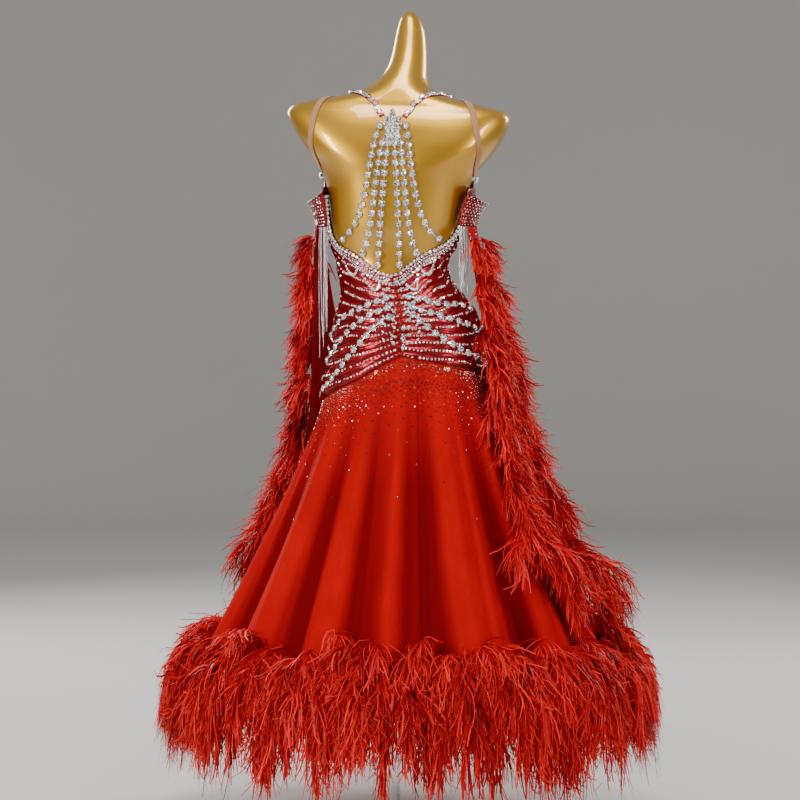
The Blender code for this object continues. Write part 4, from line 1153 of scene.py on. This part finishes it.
class DRESS_OT_floats(bpy.types.Operator):
    """Chiffon floats from the armbands, pleated lengthwise, with plumes down them and along the end"""

    bl_idname = "dress.floats"
    bl_label = "Floats"

    def execute(self, context):
        for side, word in SIDES:
            self.cloth(side, word)
            self.stones(side, word)
            self.feathers(side, word)
        return {"FINISHED"}

    def cloth(self, side, word):
        """The chiffon panel, with painted shade that makes it a little darker between its pleats."""
        across, down = np.meshgrid(np.linspace(0, 1, 70)[::side], np.linspace(0, 1, 80)[::-1])
        points = float_point(side, across, down)
        # Painted shade between the pleats
        values = {"crest": 0.75 + 0.25 * np.sin(across * 22 * np.pi)}
        name = f"float_{word}"
        make_cloth(name + "_chiffon", points, "chiffon", name, FLOAT_WALL * 0.6, values)

    def stones(self, side, word):
        """Stones glued near the back edge of the float's top."""
        random = np.random.default_rng(61 + side)
        across, down = random.uniform(0.02, 0.5, 60), 0.42 * random.uniform(0.02, 1, 60) ** 1.4
        seat = FLOAT_WALL * 0.6 + 0.0002
        places, normals = raised(lambda lift: float_point(side, across, down, lift), seat)
        sizes = look().stone / 2 * random.uniform(0.6, 1, 60)
        make_stones(f"float_{word}_stones", [place_stones(SMALL_STONE, places, normals, UP, sizes)], 63)

    def feathers(self, side, word):
        """Short plumes in three lines down the float and along its lower edge."""
        random = np.random.default_rng(23 + side)
        count = look().float_plumes
        down = (np.arange(count) + random.uniform(0, 1, count)) / count
        down = 0.02 + 0.97 * down**0.85
        line = random.choice(4, count, p=[0.36, 0.14, 0.34, 0.16])
        lower_edge = line == 3
        across = np.choose(line, (0.05, 0.50, 0.93, random.uniform(0.05, 0.95, count)))
        across = np.clip(across + random.normal(0, 0.035, count), 0.02, 0.98)
        down = np.where(lower_edge, 0.985, down)
        roots = float_point(side, across, down, extra=0.004)
        heading = np.arctan2(roots[:, 0] - float_axis(roots[:, 2]), -roots[:, 1])
        heading = heading + side * 0.3 * (across - 0.5)
        quills = {
            "root": roots,
            "heading": heading + random.normal(0, 0.5, count),
            "rise": np.radians(random.normal(-16, 18, count)),
            "drop": np.radians(random.normal(-76, 12, count)),
            "length": (0.030 + 0.030 * down + 0.060 * lower_edge) * random.uniform(0.7, 1.2, count),
            "barb": 0.058 + 0.026 * down + 0.015 * lower_edge,
        }
        piece = draw_barbs(f"float_{word}_barbs", plume_barbs(random, quills, FLOAT_BARBS, 1.05))
        seat_piece(piece, "feather", f"float_feathers_{word}")


# Armbands and bead fringe

ARMBAND_WALL = WALL * 0.8


def band_row(row, turns):
    """Levels round the loop at a row of the armband's table, its half thickness, and its gathers there."""
    inner, outer, half = (np.interp(row, range(4), column) for column in np.array(BAND_ROWS).T)
    level = inner + (outer - inner) * (0.5 + 0.5 * np.sin(turns))
    return level, half, 0.0009 * np.sin(2 * np.pi * row / 3 * 3.5)


class DRESS_OT_armbands(bpy.types.Operator):
    """Off-shoulder satin armbands: flattened loops beside the bodice that flare at the top"""

    bl_idname = "dress.armbands"
    bl_label = "Armbands"

    def execute(self, context):
        for side, word in SIDES:
            turns = -side * np.linspace(0, 2 * np.pi, 96, endpoint=False)
            row = np.linspace(0, 3, 26)[:, None]
            level, half, gather = band_row(row, turns)
            points = band_point(side, turns, level, half, extra=gather * (1 + 0.3 * np.sin(3 * turns)))
            around = np.broadcast_to(turns, level.shape)
            values = {
                "around": around,
                "folds": np.broadcast_to(row * 1.5, level.shape),
                "crest": np.full(level.shape, 0.6),
            }
            name, worn_on = f"armband_{word}", [f"bodice_back_{word}_satin"]
            make_cloth(
                name + "_satin", points, "satin", name, ARMBAND_WALL, values, ring=True
            )
            self.stones(side, word)
        return {"FINISHED"}

    def stones(self, side, word):
        """Offset rows of stones round the outer side of the band."""
        places, normals = [], []
        for number, row in enumerate(np.linspace(0.10, 2.90, 11)):
            turns = np.radians(np.arange(8 + 6.5 * (number % 2), 176, 13))
            level, half, gather = band_row(row, turns)
            place, normal = raised(
                lambda lift: band_point(side, turns, level, half, extra=lift), gather + ARMBAND_WALL
            )
            places.append(place)
            normals.append(normal)
        places, normals = np.concatenate(places), np.concatenate(normals)
        sizes = look().stone / 2 * (0.70 + 0.14 * np.sin(np.arange(len(places)) * 2.4))
        make_stones(f"armband_{word}_stones", [place_stones(SMALL_STONE, places, normals, UP, sizes)], 5)


FRINGE_SPAN = (250, 128)
FRINGE_LENGTH = {"left": 0.28, "right": 0.18}
# Places of the bead strands along the fringe, as shares of its length: they hang in loose groups
FRINGE_SHARES = (
    0, 0.05, 0.09, 0.19, 0.24, 0.28, 0.39, 0.44, 0.47, 0.52, 0.63, 0.67, 0.71, 0.82, 0.86, 0.93, 1,
)
SWAG_TOP = 1.08
BEAD_RADIUS, THREAD_RADIUS, BEAD_LENGTH = 0.00105, 0.0005, 0.0036


def clear_drop(foot):
    """How far a strand may hang from a point before it meets the bodice or the skirt."""
    angles = np.linspace(-np.pi, np.pi, 145)
    level = SWAG_TOP + 0.07
    while level > 0.88:
        level -= 0.005
        off = BACK_CLEARANCE + GATHER_AT_SIDE + WALL + (2 * CRYSTAL_RADIUS if level < SWAG_TOP else 0.001)
        edge = body_point(angles, np.full_like(angles, level), off)
        centre = float(section(np.array(level))["centre_x"])
        heading = np.arctan2(foot[0] - centre, -foot[1])
        limit = np.interp(heading, angles, np.hypot(edge[:, 0] - centre, edge[:, 1]))
        if math.hypot(foot[0] - centre, foot[1]) < limit:
            break
    return foot[2] - level - 0.006


class DRESS_OT_bead_fringe(bpy.types.Operator):
    """Silver bugle bead strands under the armbands: thin tubes that swell at each bead and sway a little"""

    bl_idname = "dress.bead_fringe"
    bl_label = "Bead fringe"

    def execute(self, context):
        for side, word in SIDES:
            loop = np.radians(np.linspace(*FRINGE_SPAN, 400))
            edge = band_point(side, loop, BAND_ROWS[0][0], BAND_ROWS[0][2], extra=0.0008)
            spots = through(edge[::20], 200)[np.round(np.array(FRINGE_SHARES) * 199).astype(int)]
            parts, tones = [], []
            for number, spot in enumerate(spots):
                foot = spot - (0, 0, 0.0008)
                near = number * 15 / (len(spots) - 1)
                uneven = 0.09 * np.sin(2.4 * near) * np.cos(0.9 * near + 0.4)
                length = min(FRINGE_LENGTH[word] + float(uneven), clear_drop(foot))
                length *= 1 - 0.14 * (number * 5 % 4)
                count = max(4, int(length / BEAD_LENGTH))
                drop = np.linspace(0, length, 2 * count + 1)
                swing = 0.0016 * np.sin(drop * 25 + 2.1 * number) * (drop / length)
                line = foot + np.stack([swing, 0.4 * swing, -drop], axis=-1)
                bead = np.arange(len(line)) % 2 == 1
                parts.append(tube(line, np.where(bead, BEAD_RADIUS, THREAD_RADIUS), sides=5))
                shine = 0.45 + 0.5 * (number * 7 % 5) / 4
                tones.append(np.repeat(np.where(bead, shine, 0.05), 5))
            points, faces = join(parts)
            values = {"tone": np.concatenate(tones)}
            piece = make_piece(f"fringe_{word}_beads", points, faces, "bugle_glass", values=values)
            seat_piece(piece, "crystal", f"bead_fringe_{word}")
        return {"FINISHED"}


# Straps, chains and the nape ornament

STRAP_WIDTH, ELASTIC_WIDTH, STRAP_WALL, STONE_SEAT = 0.011, 0.012, 0.0012, 0.0012
STRAP_STATIONS, STRAP_COLUMNS = 110, 7


def centre_line(level):
    """x of the back's centre line, which leans a little."""
    return float(np.interp(level, (1.13, 1.42), (-0.002, 0.008)))


def smooth_rows(values, width):
    """Running mean along the first axis, with the ends kept."""
    edge = width // 2
    padded = np.concatenate([np.repeat(values[:1], edge, 0), values, np.repeat(values[-1:], edge, 0)])
    return sum(padded[k : k + len(values)] for k in range(width)) / width


def strap_grid(tree, route, side, width, lift):
    """Ribbon laid on the form: its middle and its width both find the surface, then lift off it."""
    points = [(0.008 + side * away, y, level) for away, y, level in route]
    points = [(x, y, level + float(tilt(x, level))) for x, y, level in points]
    middle, normals = nearest(tree, through(points, STRAP_STATIONS))
    normals = unit(smooth_rows(normals, 5))
    middle = smooth_rows(middle, 3)
    ahead = np.gradient(middle, axis=0)
    sideways = unit(np.cross(ahead, normals)) * width / 2
    share = np.linspace(-1, 1, STRAP_COLUMNS)
    grid = middle[:, None] + sideways[:, None] * share[None, :, None]
    flat, out = (found.reshape(grid.shape) for found in nearest(tree, grid))
    out = unit(smooth_rows(out, 5))
    return smooth_rows(flat + out * lift, 3), out


class DRESS_OT_straps(bpy.types.Operator):
    """Stoned shoulder straps and nude elastic straps: ribbons that lie on the form"""

    bl_idname = "dress.straps"
    bl_label = "Straps"

    def execute(self, context):
        tree = form_tree()
        ends = []
        for side, word in SIDES:
            grid, out = strap_grid(tree, STONED_STRAP, side, STRAP_WIDTH, 0.0008)
            flat = np.zeros(grid.shape[:2])
            values = {"around": flat, "folds": flat, "crest": flat + 0.9}
            self.ribbon(f"strap_{word}_satin", grid, "satin", f"stoned_strap_{word}", values)
            self.stones(grid[:, 3], out[:, 3], word)
            grid, out = strap_grid(tree, ELASTIC_STRAP, side, ELASTIC_WIDTH, 0.0010)
            values = {"across": np.broadcast_to(np.linspace(0, 1, STRAP_COLUMNS), grid.shape[:2])}
            self.ribbon(f"elastic_{word}_band", grid, "elastic", f"elastic_strap_{word}", values)
            # A crystal where the elastic meets the armband, turned a little towards the back
            ends.append((grid[3, 3] + out[3, 3] * 0.002 - (0, 0.002, 0.004), unit(out[3, 3] + (0, -1.2, 0))))
        spots, outs = (np.array(column) for column in zip(*ends))
        make_stones("elastic_end_stones", [place_stones(ROUND_BRILLIANT, spots, outs, UP, 0.0072)], 29)
        return {"FINISHED"}

    def ribbon(self, name, grid, slot, node, values):
        """Cloth of a strap, stretched over the form."""
        make_cloth(name, grid, slot, node, STRAP_WALL, values)

    def stones(self, line, out, word):
        """Pointed ovals along the strap, with small round stones between and beside them."""
        length = path_length(line)
        count = int(length / 0.0215)
        travelled = distances(line)
        ahead = unit(np.gradient(line, axis=0))
        middles = (np.arange(count) + 0.5) * length / count
        gaps = np.arange(1, count) * length / count
        groups = []
        # where along the strap, shape, radius, distances aside, distances ahead
        for where, shape, radius, asides, aheads in (
            (middles, MARQUISE, 0.0078, (0,), (0,)),
            (gaps, SMALL_STONE, 0.0018, (-0.0034, 0, 0.0034), (-0.0019, 0.0019)),
            (middles, SMALL_STONE, 0.0015, (-0.0042, 0.0042), (-0.0056, 0.0056)),
        ):
            place, forward, away = (
                np.stack([np.interp(where, travelled, column) for column in values.T], axis=-1)
                for values in (line, ahead, out)
            )
            sideways = unit(np.cross(forward, away))
            for beside in asides:
                for further in aheads:
                    spots = place + sideways * beside + forward * further + away * STONE_SEAT
                    groups.append(place_stones(shape, spots, away, forward, radius))
        make_stones(f"strap_{word}_stones", groups, 9)


def setting_ring(count=24):
    """Claw setting of radius 1: a low ring whose rim swells into eight petals."""
    turns = np.linspace(0, 2 * np.pi, count, endpoint=False)
    petal = 1.17 + 0.13 * np.cos(8 * turns)
    rows = ((0.85, -0.30), (1.0, -0.28), (1.0, 0.05), (0.88, 0.17))
    grid = [outward_of(turns) * (petal * share)[:, None] + height * UP for share, height in rows]
    return np.concatenate(grid), halves(grid_faces(len(rows), count, ring=True))


SETTING = setting_ring()


def taut(along, depths):
    """Depths drawn tight, so that a hanging chain bridges the hollows of the back."""
    tight = np.array(depths, float)
    for j in range(len(along) - 2):
        for k in range(j + 2, len(along)):
            inner = slice(j + 1, k)
            chord = np.interp(along[inner], [along[j], along[k]], [depths[j], depths[k]])
            tight[inner] = np.minimum(tight[inner], chord)
    return tight


def make_settings(name, parts, smooth=True):
    """Metal piece from several parts: settings, links or plates."""
    metal = make_piece(name, *join(parts), "plated_setting", smooth=smooth)
    if smooth:
        crisp_edges(metal, 40)
    seat_piece(metal, "crystal")


def build_chain(name, line, normals, node):
    """Crystals in petal settings at every other spot of a line, joined by thin links."""
    ahead = unit(np.gradient(line, axis=0))[1::2]
    jewels, out = line[1::2], normals[1::2]
    stones = place_stones(ROUND_BRILLIANT, jewels, out, ahead, CRYSTAL_RADIUS * 0.93)
    make_stones(name + "_stones", [stones], len(name) * 7 + len(jewels), node)
    rings = place_stones(SETTING, jewels, out, ahead, CRYSTAL_RADIUS)
    wire, quads = tube(line - normals * LINK_RADIUS, LINK_RADIUS, sides=4)
    make_settings(name + "_settings", [rings, (wire, halves(quads))])


def spread_evenly(path, line):
    """The path again with a crystal at every other point, as many as the line's length takes."""
    return through(path, 2 * round(path_length(line) / CHAIN_SPACING) + 1)


class DRESS_OT_chains(bpy.types.Operator):
    """Crystal cup chains over the open back, and swags of them on the ruching"""

    bl_idname = "dress.chains"
    bl_label = "Crystal chains"

    def execute(self, context):
        tree = form_tree()
        for side, word in SIDES:
            for number, route in enumerate(CHAIN_ROUTES, start=1):
                flat = through(route, 24)
                flat = spread_evenly(flat, flat)
                x = np.array([centre_line(level) + side * away for away, level in flat])
                depth = np.array([behind(tree, *place) for place in zip(x, flat[:, 1])]) - 0.0045
                line = np.stack([x, taut(distances(flat), depth), flat[:, 1]], axis=-1)
                spots, normals = nearest(tree, line)
                gap = np.einsum("ij,ij->i", line - spots, normals)
                line = line + normals * np.maximum(0, 0.0042 - gap)[:, None]
                normals = unit(smooth_rows(normals, 3))
                build_chain(f"chain_{word}_{number}", line, normals, f"back_chain_{word}_{number}")
        # Above the wall and the highest fold of the ruching
        lift = BACK_CLEARANCE + BODICE_WALL + BACK_STRENGTH * 1.2 * GATHER_AT_SIDE + 0.0016
        for name, route in SWAG_ROUTES.items():
            flat = through(route, 60)
            line = body_point(np.radians(flat[:, 0]), flat[:, 1], lift)
            line = spread_evenly(line, line)
            _, normals = nearest(tree, line)
            build_chain(name.replace("crystal_", ""), line, unit(normals), name)
        return {"FINISHED"}


# Pointed stones of the nape ornament: across, up, turn from upright in degrees, half length
NAPE_OVALS = ((0, 0.0115, 0, 0.0125), (-0.0115, 0.003, 52, 0.0100), (0.0115, 0.003, -52, 0.0100))
# Round stones of the nape ornament: across, up, radius
NAPE_ROUNDS = (
    (0, -0.005, 0.0048), (-0.0085, -0.0075, 0.0036), (0.0085, -0.0075, 0.0036), (0, -0.0135, 0.0042),
    (-0.0125, -0.0145, 0.0030), (0.0125, -0.0145, 0.0030), (-0.0062, -0.0155, 0.0029),
    (0.0062, -0.0155, 0.0029), (-0.0095, -0.0215, 0.0034), (0.0095, -0.0215, 0.0034), (0, -0.0205, 0.0033),
    (-0.0045, -0.0265, 0.0030), (0.0045, -0.0265, 0.0030), (-0.0128, -0.0272, 0.0024),
    (0.0128, -0.0272, 0.0024), (-0.0165, -0.006, 0.0022), (0.0165, -0.006, 0.0022),
    (-0.0112, -0.0325, 0.0056), (0.0108, -0.0335, 0.0056), (0, -0.0325, 0.0038),
)


class DRESS_OT_ornament(bpy.types.Operator):
    """Nape ornament: three pointed stones over a cluster of round ones, each in a thin metal setting"""

    bl_idname = "dress.ornament"
    bl_label = "Nape ornament"

    def execute(self, context):
        tree = form_tree()
        x, level = centre_line(ORNAMENT_LEVEL), ORNAMENT_LEVEL
        depth = min(behind(tree, x + dx, level + dz) for dx in (-0.015, 0, 0.015) for dz in (-0.025, 0, 0.02))
        back = (0, -1.0, 0)
        across, up, degrees, sizes = np.array(NAPE_OVALS).T
        ovals = np.stack([x + across, np.full_like(up, depth - 0.0048), level + up], axis=-1)
        lean = np.radians(degrees)
        leans = np.stack([-np.sin(lean), 0 * lean, np.cos(lean)], axis=-1)
        across, up, radii = np.array(NAPE_ROUNDS).T
        rounds = np.stack([x + across, np.full_like(up, depth - 0.0045), level + up], axis=-1)
        stones = [
            place_stones(MARQUISE, ovals, back, leans, sizes),
            place_stones(ROUND_BRILLIANT, rounds, back, UP, radii),
        ]
        make_stones("nape_ornament_stones", stones, 3, "nape_ornament")
        plates = [
            place_stones(MARQUISE, ovals + (0, 0.0022, 0), back, leans, sizes * 1.14),
            place_stones(SETTING, rounds + (0, 0.0003, 0), back, UP, radii),
        ]
        make_settings("nape_ornament_settings", plates, smooth=False)
        return {"FINISHED"}


# Rhinestones

CLUSTER_LIFT, LOOP_LIFT = BACK_CLEARANCE + 0.0072, BACK_CLEARANCE + 0.0066
# Rows of the neckline band: distance below the edge, and radius
NECKLINE_ROWS = ((0.0042, 0.0040), (0.0108, 0.0022), (0.0158, 0.0028), (0.0208, 0.0019))
# Ovals beside the centre seam: level, angle, and half length
SEAM_OVALS = ((1.003, 1.6, 0.0078), (0.985, 1.4, 0.0092), (0.966, 1.8, 0.0082))
# Loops below the neckline: angle of the middle, half angle, and how far they dip
LOOPS = ((20, 9, 0.026), (42, 10, 0.024))
SKIRT_STONES, GOLDEN_SHARE = 3600, 0.6180339887
# Shares of clear, hematite, topaz and siam stones on the skirt, near the yoke and further down
NEAR_SHARES, FAR_SHARES = (0.05, 0.48, 0.22, 0.25), (0.04, 0.72, 0.10, 0.14)


def surface_frames(point_at, angle, share, above):
    """Places on a surface function and its normals, from small steps along its two parameters."""
    here = point_at(angle, share)
    along = point_at(angle + 1e-3, share) - here
    up = point_at(angle, share + 1e-3) - here
    normals = unit(np.cross(along, up))
    return here + normals * above, normals, unit(up)


class DRESS_OT_stones(bpy.types.Operator):
    """Rhinestones glued in rows along the folds, round the neckline and scattered over the skirt's top"""

    bl_idname = "dress.stones"
    bl_label = "Rhinestones"

    def execute(self, context):
        self.fold_rows()
        self.neckline()
        self.centre_cluster()
        self.skirt()
        return {"FINISHED"}

    def fold_rows(self):
        """Rows on the crests of the folds: each row keeps to one fold, dense at the centre back."""
        random = np.random.default_rng(31)
        angles, shares = [], []
        for side, _ in SIDES:
            for fold in range(BACK_GATHERS):
                angle = np.radians(np.arange(2.2 + 1.2 * (fold % 2), 88, 2.7)) * side
                missing = np.interp(np.abs(np.degrees(angle)), (0, 35, 88), (0, 0.06, 0.45))
                angle = angle[random.uniform(0, 1, len(angle)) > missing]
                share = np.full_like(angle, (fold + 0.5) / BACK_GATHERS)
                for _ in range(3):
                    share = (fold + 0.5 - fold_wander(angle, share)) / BACK_GATHERS
                inside = (share > 0.015) & (share < 0.93)
                angles.append(angle[inside])
                shares.append(share[inside])
        angle, share = np.concatenate(angles), np.concatenate(shares)
        places, normals, ups = surface_frames(bodice_point, angle, share, BODICE_WALL)
        sizes = look().stone / 2 * random.choice([0.85, 1.05, 1.3], len(places), p=[0.4, 0.4, 0.2])
        make_stones("fold_stones", [place_stones(SMALL_STONE, places, normals, ups, sizes)], 17)

    def neckline(self):
        """Encrusted band along the back opening: four offset rows, the first of them the largest."""
        groups = []
        fine = np.radians(np.linspace(-86, 86, 1200))
        for number, (below, size) in enumerate(NECKLINE_ROWS):
            edge = body_point(fine, neckline_level(fine) - below, clearance(fine) + BODICE_WALL)
            travelled = distances(edge)
            wanted = np.arange(0.003 + 0.003 * (number % 2), travelled[-1], size * 2 + 0.0011)
            angle = np.interp(wanted, travelled, fine)
            angle = angle[np.abs(angle) > 0.012]
            share = 1 - below / (neckline_level(angle) - yoke_level(angle))
            places, normals, ups = surface_frames(bodice_point, angle, share, BODICE_WALL)
            shape = ROUND_BRILLIANT if number == 0 else SMALL_STONE
            groups.append(place_stones(shape, places, normals, ups, size))
        make_stones("neckline_stones", groups, 19)

    def centre_cluster(self):
        """Ovals in a herringbone on both sides of the centre seam, and loops below the neckline."""
        random = np.random.default_rng(37)
        # angle, level, lean and half length of each oval
        ovals = [
            (side * (away + 0.8 * (number % 2)), level + 0.006 * step, side * (58 - 14 * step), size)
            for side, _ in SIDES
            for number, level in enumerate(np.arange(0.975, 1.100, 0.0150))
            for step, (away, size) in enumerate(((4.6, 0.0058), (11.5, 0.0047)))
        ]
        ovals += [(degrees, level, math.degrees(math.atan(0.1)), size) for level, degrees, size in SEAM_OVALS]
        degrees, level, lean, sizes = np.array(ovals).T
        angle, lean = np.radians(degrees), np.radians(lean)
        places, normals = raised(lambda lift: body_point(angle, level, lift), CLUSTER_LIFT)
        leans = np.stack([np.sin(lean), 0 * lean, np.cos(lean)], axis=-1)
        groups = [place_stones(MARQUISE, places, normals, leans, sizes)]
        share = np.linspace(-1, 1, 13)
        rows = np.array([(side, *row) for side, _ in SIDES for row in LOOPS])
        side, middle, half, dip = rows.T[..., None]
        round_loop = np.radians(side * (middle + half * share)).ravel()
        height = neckline_level(round_loop) - 0.022 - (dip * (1 - share**2)).ravel()
        spots, outs = raised(lambda lift: body_point(round_loop, height, lift), LOOP_LIFT)
        radii = 0.0029 * random.uniform(0.9, 1.1, len(spots))
        groups.append(place_stones(ROUND_BRILLIANT, spots, outs, UP, radii))
        make_stones("centre_stones", groups, 41)

    def skirt(self):
        """Even spread that thins out with distance from the yoke, in golden-angle order.

        The share down the skirt is 0.04 times the 1.35th power of the negative logarithm of what is
        left of the order.
        """
        random = np.random.default_rng(43)
        number = np.arange(SKIRT_STONES)
        order = (number + 0.5) / SKIRT_STONES
        angle = (number * GOLDEN_SHARE % 1 * 2 - 1) * np.pi + random.normal(0, 0.004, SKIRT_STONES)
        share = 0.008 + 0.040 * (-np.log(1 - order)) ** 1.35 + random.normal(0, 0.0012, SKIRT_STONES)
        keep = (share < 0.52) & (share > 0.004)
        angle, share, near = angle[keep], share[keep], order[keep] < 0.72
        places, normals, ups = surface_frames(skirt_cloth, angle, share, 0.0)
        normals = normals * np.sign(np.einsum("ij,ij->i", normals, outward_of(angle)))[:, None]
        places = places + normals * SKIRT_WALL
        count = len(places)
        small, large = random.uniform(0.0008, 0.0014, count), random.uniform(0.0015, 0.0021, count)
        sizes = np.where(near, small, large)
        close, far = (random.choice(4, count, p=shares) for shares in (NEAR_SHARES, FAR_SHARES))
        kind = np.where(near, close, far)
        for number, word in enumerate(("clear", "hematite", "topaz", "siam")):
            own = kind == number
            group = place_stones(TINY_STONE, places[own], normals[own], ups[own], sizes[own])
            make_stones(f"skirt_stones_{word}", [group], 47 + number, finish=word + "_crystal")


# Stage

# Name, place, aimed at, width, height, watts
LAMPS = (
    ("key_strip", (-2.3, -3.0, 1.9), (0, 0, 1.0), 0.45, 2.2, 120),
    ("fill_strip", (2.9, -2.5, 1.9), (0, 0, 1.0), 0.45, 2.2, 62),
    ("rim_left", (-2.4, 2.6, 2.4), (0, 0, 1.0), 0.8, 1.8, 90),
    ("rim_right", (2.6, 2.4, 2.4), (0, 0, 1.0), 0.8, 1.8, 90),
    ("top", (0.1, -1.2, 3.9), (0, 0, 0.9), 1.2, 1.2, 60),
)
CAMERA_DISTANCE, CAMERA_BESIDE, CAMERA_LEVEL, CAMERA_LENS = 4.34, 0.012, 1.0, 97.65
CAMERA_ROUND, CAMERA_DOWN = math.radians(7.5), math.radians(1.85)


def stage_bowl():
    """Pale floor that curves up all round into a low wall: a profile turned about the upright axis."""
    sweep = np.radians(np.linspace(0, 80, 14))
    radius = np.concatenate([np.linspace(0.4, 7.0, 12), 7.0 + 2.5 * np.sin(sweep[1:]), [9.9, 10.4]])
    height = np.concatenate([np.zeros(12), 2.5 * (1 - np.cos(sweep[1:])), [4.5, 7.5]])
    grid = turned(np.stack([radius, height], axis=-1))
    rows, columns = grid.shape[:2]
    points = np.concatenate([grid.reshape(-1, 3), [[0, 0, 0]]])
    middle = fan_faces(columns, 0, rows * columns)
    return points, [grid_faces(rows, columns, ring=True)[:, ::-1], middle]


class DRESS_OT_stage(bpy.types.Operator):
    """Pale floor, soft studio lights and the camera at the photograph's view"""

    bl_idname = "dress.stage"
    bl_label = "Stage"

    def execute(self, context):
        scene = context.scene
        floor = make_piece("floor", *stage_bowl(), "matte_paper")
        floor.location.z = -0.0004
        world = bpy.data.worlds.new("studio")
        world.use_nodes = True
        feed(world.node_tree, world.node_tree.nodes["Background"], {0: rgba("#EDEFF2"), 1: 0.42})
        scene.world = world
        for name, place, aim, wide, high, watts in LAMPS:
            light = bpy.data.lights.new(name, "AREA")
            light.shape = "RECTANGLE"
            light.size = wide
            light.size_y = high
            light.energy = watts
            lamp = bpy.data.objects.new(name, light)
            lamp.location = place
            lamp.rotation_euler = (Vector(aim) - Vector(place)).to_track_quat("-Z", "Y").to_euler()
            scene.collection.objects.link(lamp)
        sine, cosine = math.sin(CAMERA_ROUND), math.cos(CAMERA_ROUND)
        camera = bpy.data.objects.new("camera", bpy.data.cameras.new("camera"))
        camera.location = (
            CAMERA_DISTANCE * sine + CAMERA_BESIDE * cosine,
            -CAMERA_DISTANCE * cosine + CAMERA_BESIDE * sine,
            CAMERA_LEVEL,
        )
        camera.rotation_euler = (math.pi / 2 - CAMERA_DOWN, 0, CAMERA_ROUND)
        camera.data.lens = CAMERA_LENS
        camera.data.clip_end = 60
        scene.collection.objects.link(camera)
        scene.camera = camera
        return {"FINISHED"}


PIECES = (
    DRESS_OT_form, DRESS_OT_stand, DRESS_OT_bodice, DRESS_OT_skirt, DRESS_OT_hem_feathers,
    DRESS_OT_armbands, DRESS_OT_floats, DRESS_OT_bead_fringe, DRESS_OT_straps, DRESS_OT_chains,
    DRESS_OT_ornament, DRESS_OT_stones, DRESS_OT_stage,
)


class DRESS_PT_panel(bpy.types.Panel):
    """Sidebar panel with the dress's colours, sizes and pieces"""

    bl_label = "Ballroom dress"
    bl_space_type = "VIEW_3D"
    bl_region_type = "UI"
    bl_category = "Dress"

    def draw(self, context):
        for key in DressLook.__annotations__:
            self.layout.prop(context.scene.dress_look, key)
        for piece in PIECES:
            self.layout.operator(piece.bl_idname)


CLASSES = (DressLook, *PIECES, DRESS_PT_panel)


def register():
    for made in CLASSES:
        bpy.utils.register_class(made)
    bpy.types.Scene.dress_look = bpy.props.PointerProperty(type=DressLook)


def unregister():
    del bpy.types.Scene.dress_look
    for made in reversed(CLASSES):
        bpy.utils.unregister_class(made)


def main():
    register()
    for piece in PIECES:
        getattr(bpy.ops.dress, piece.bl_idname.split(".")[1])()


if __name__ == "__main__":
    main()
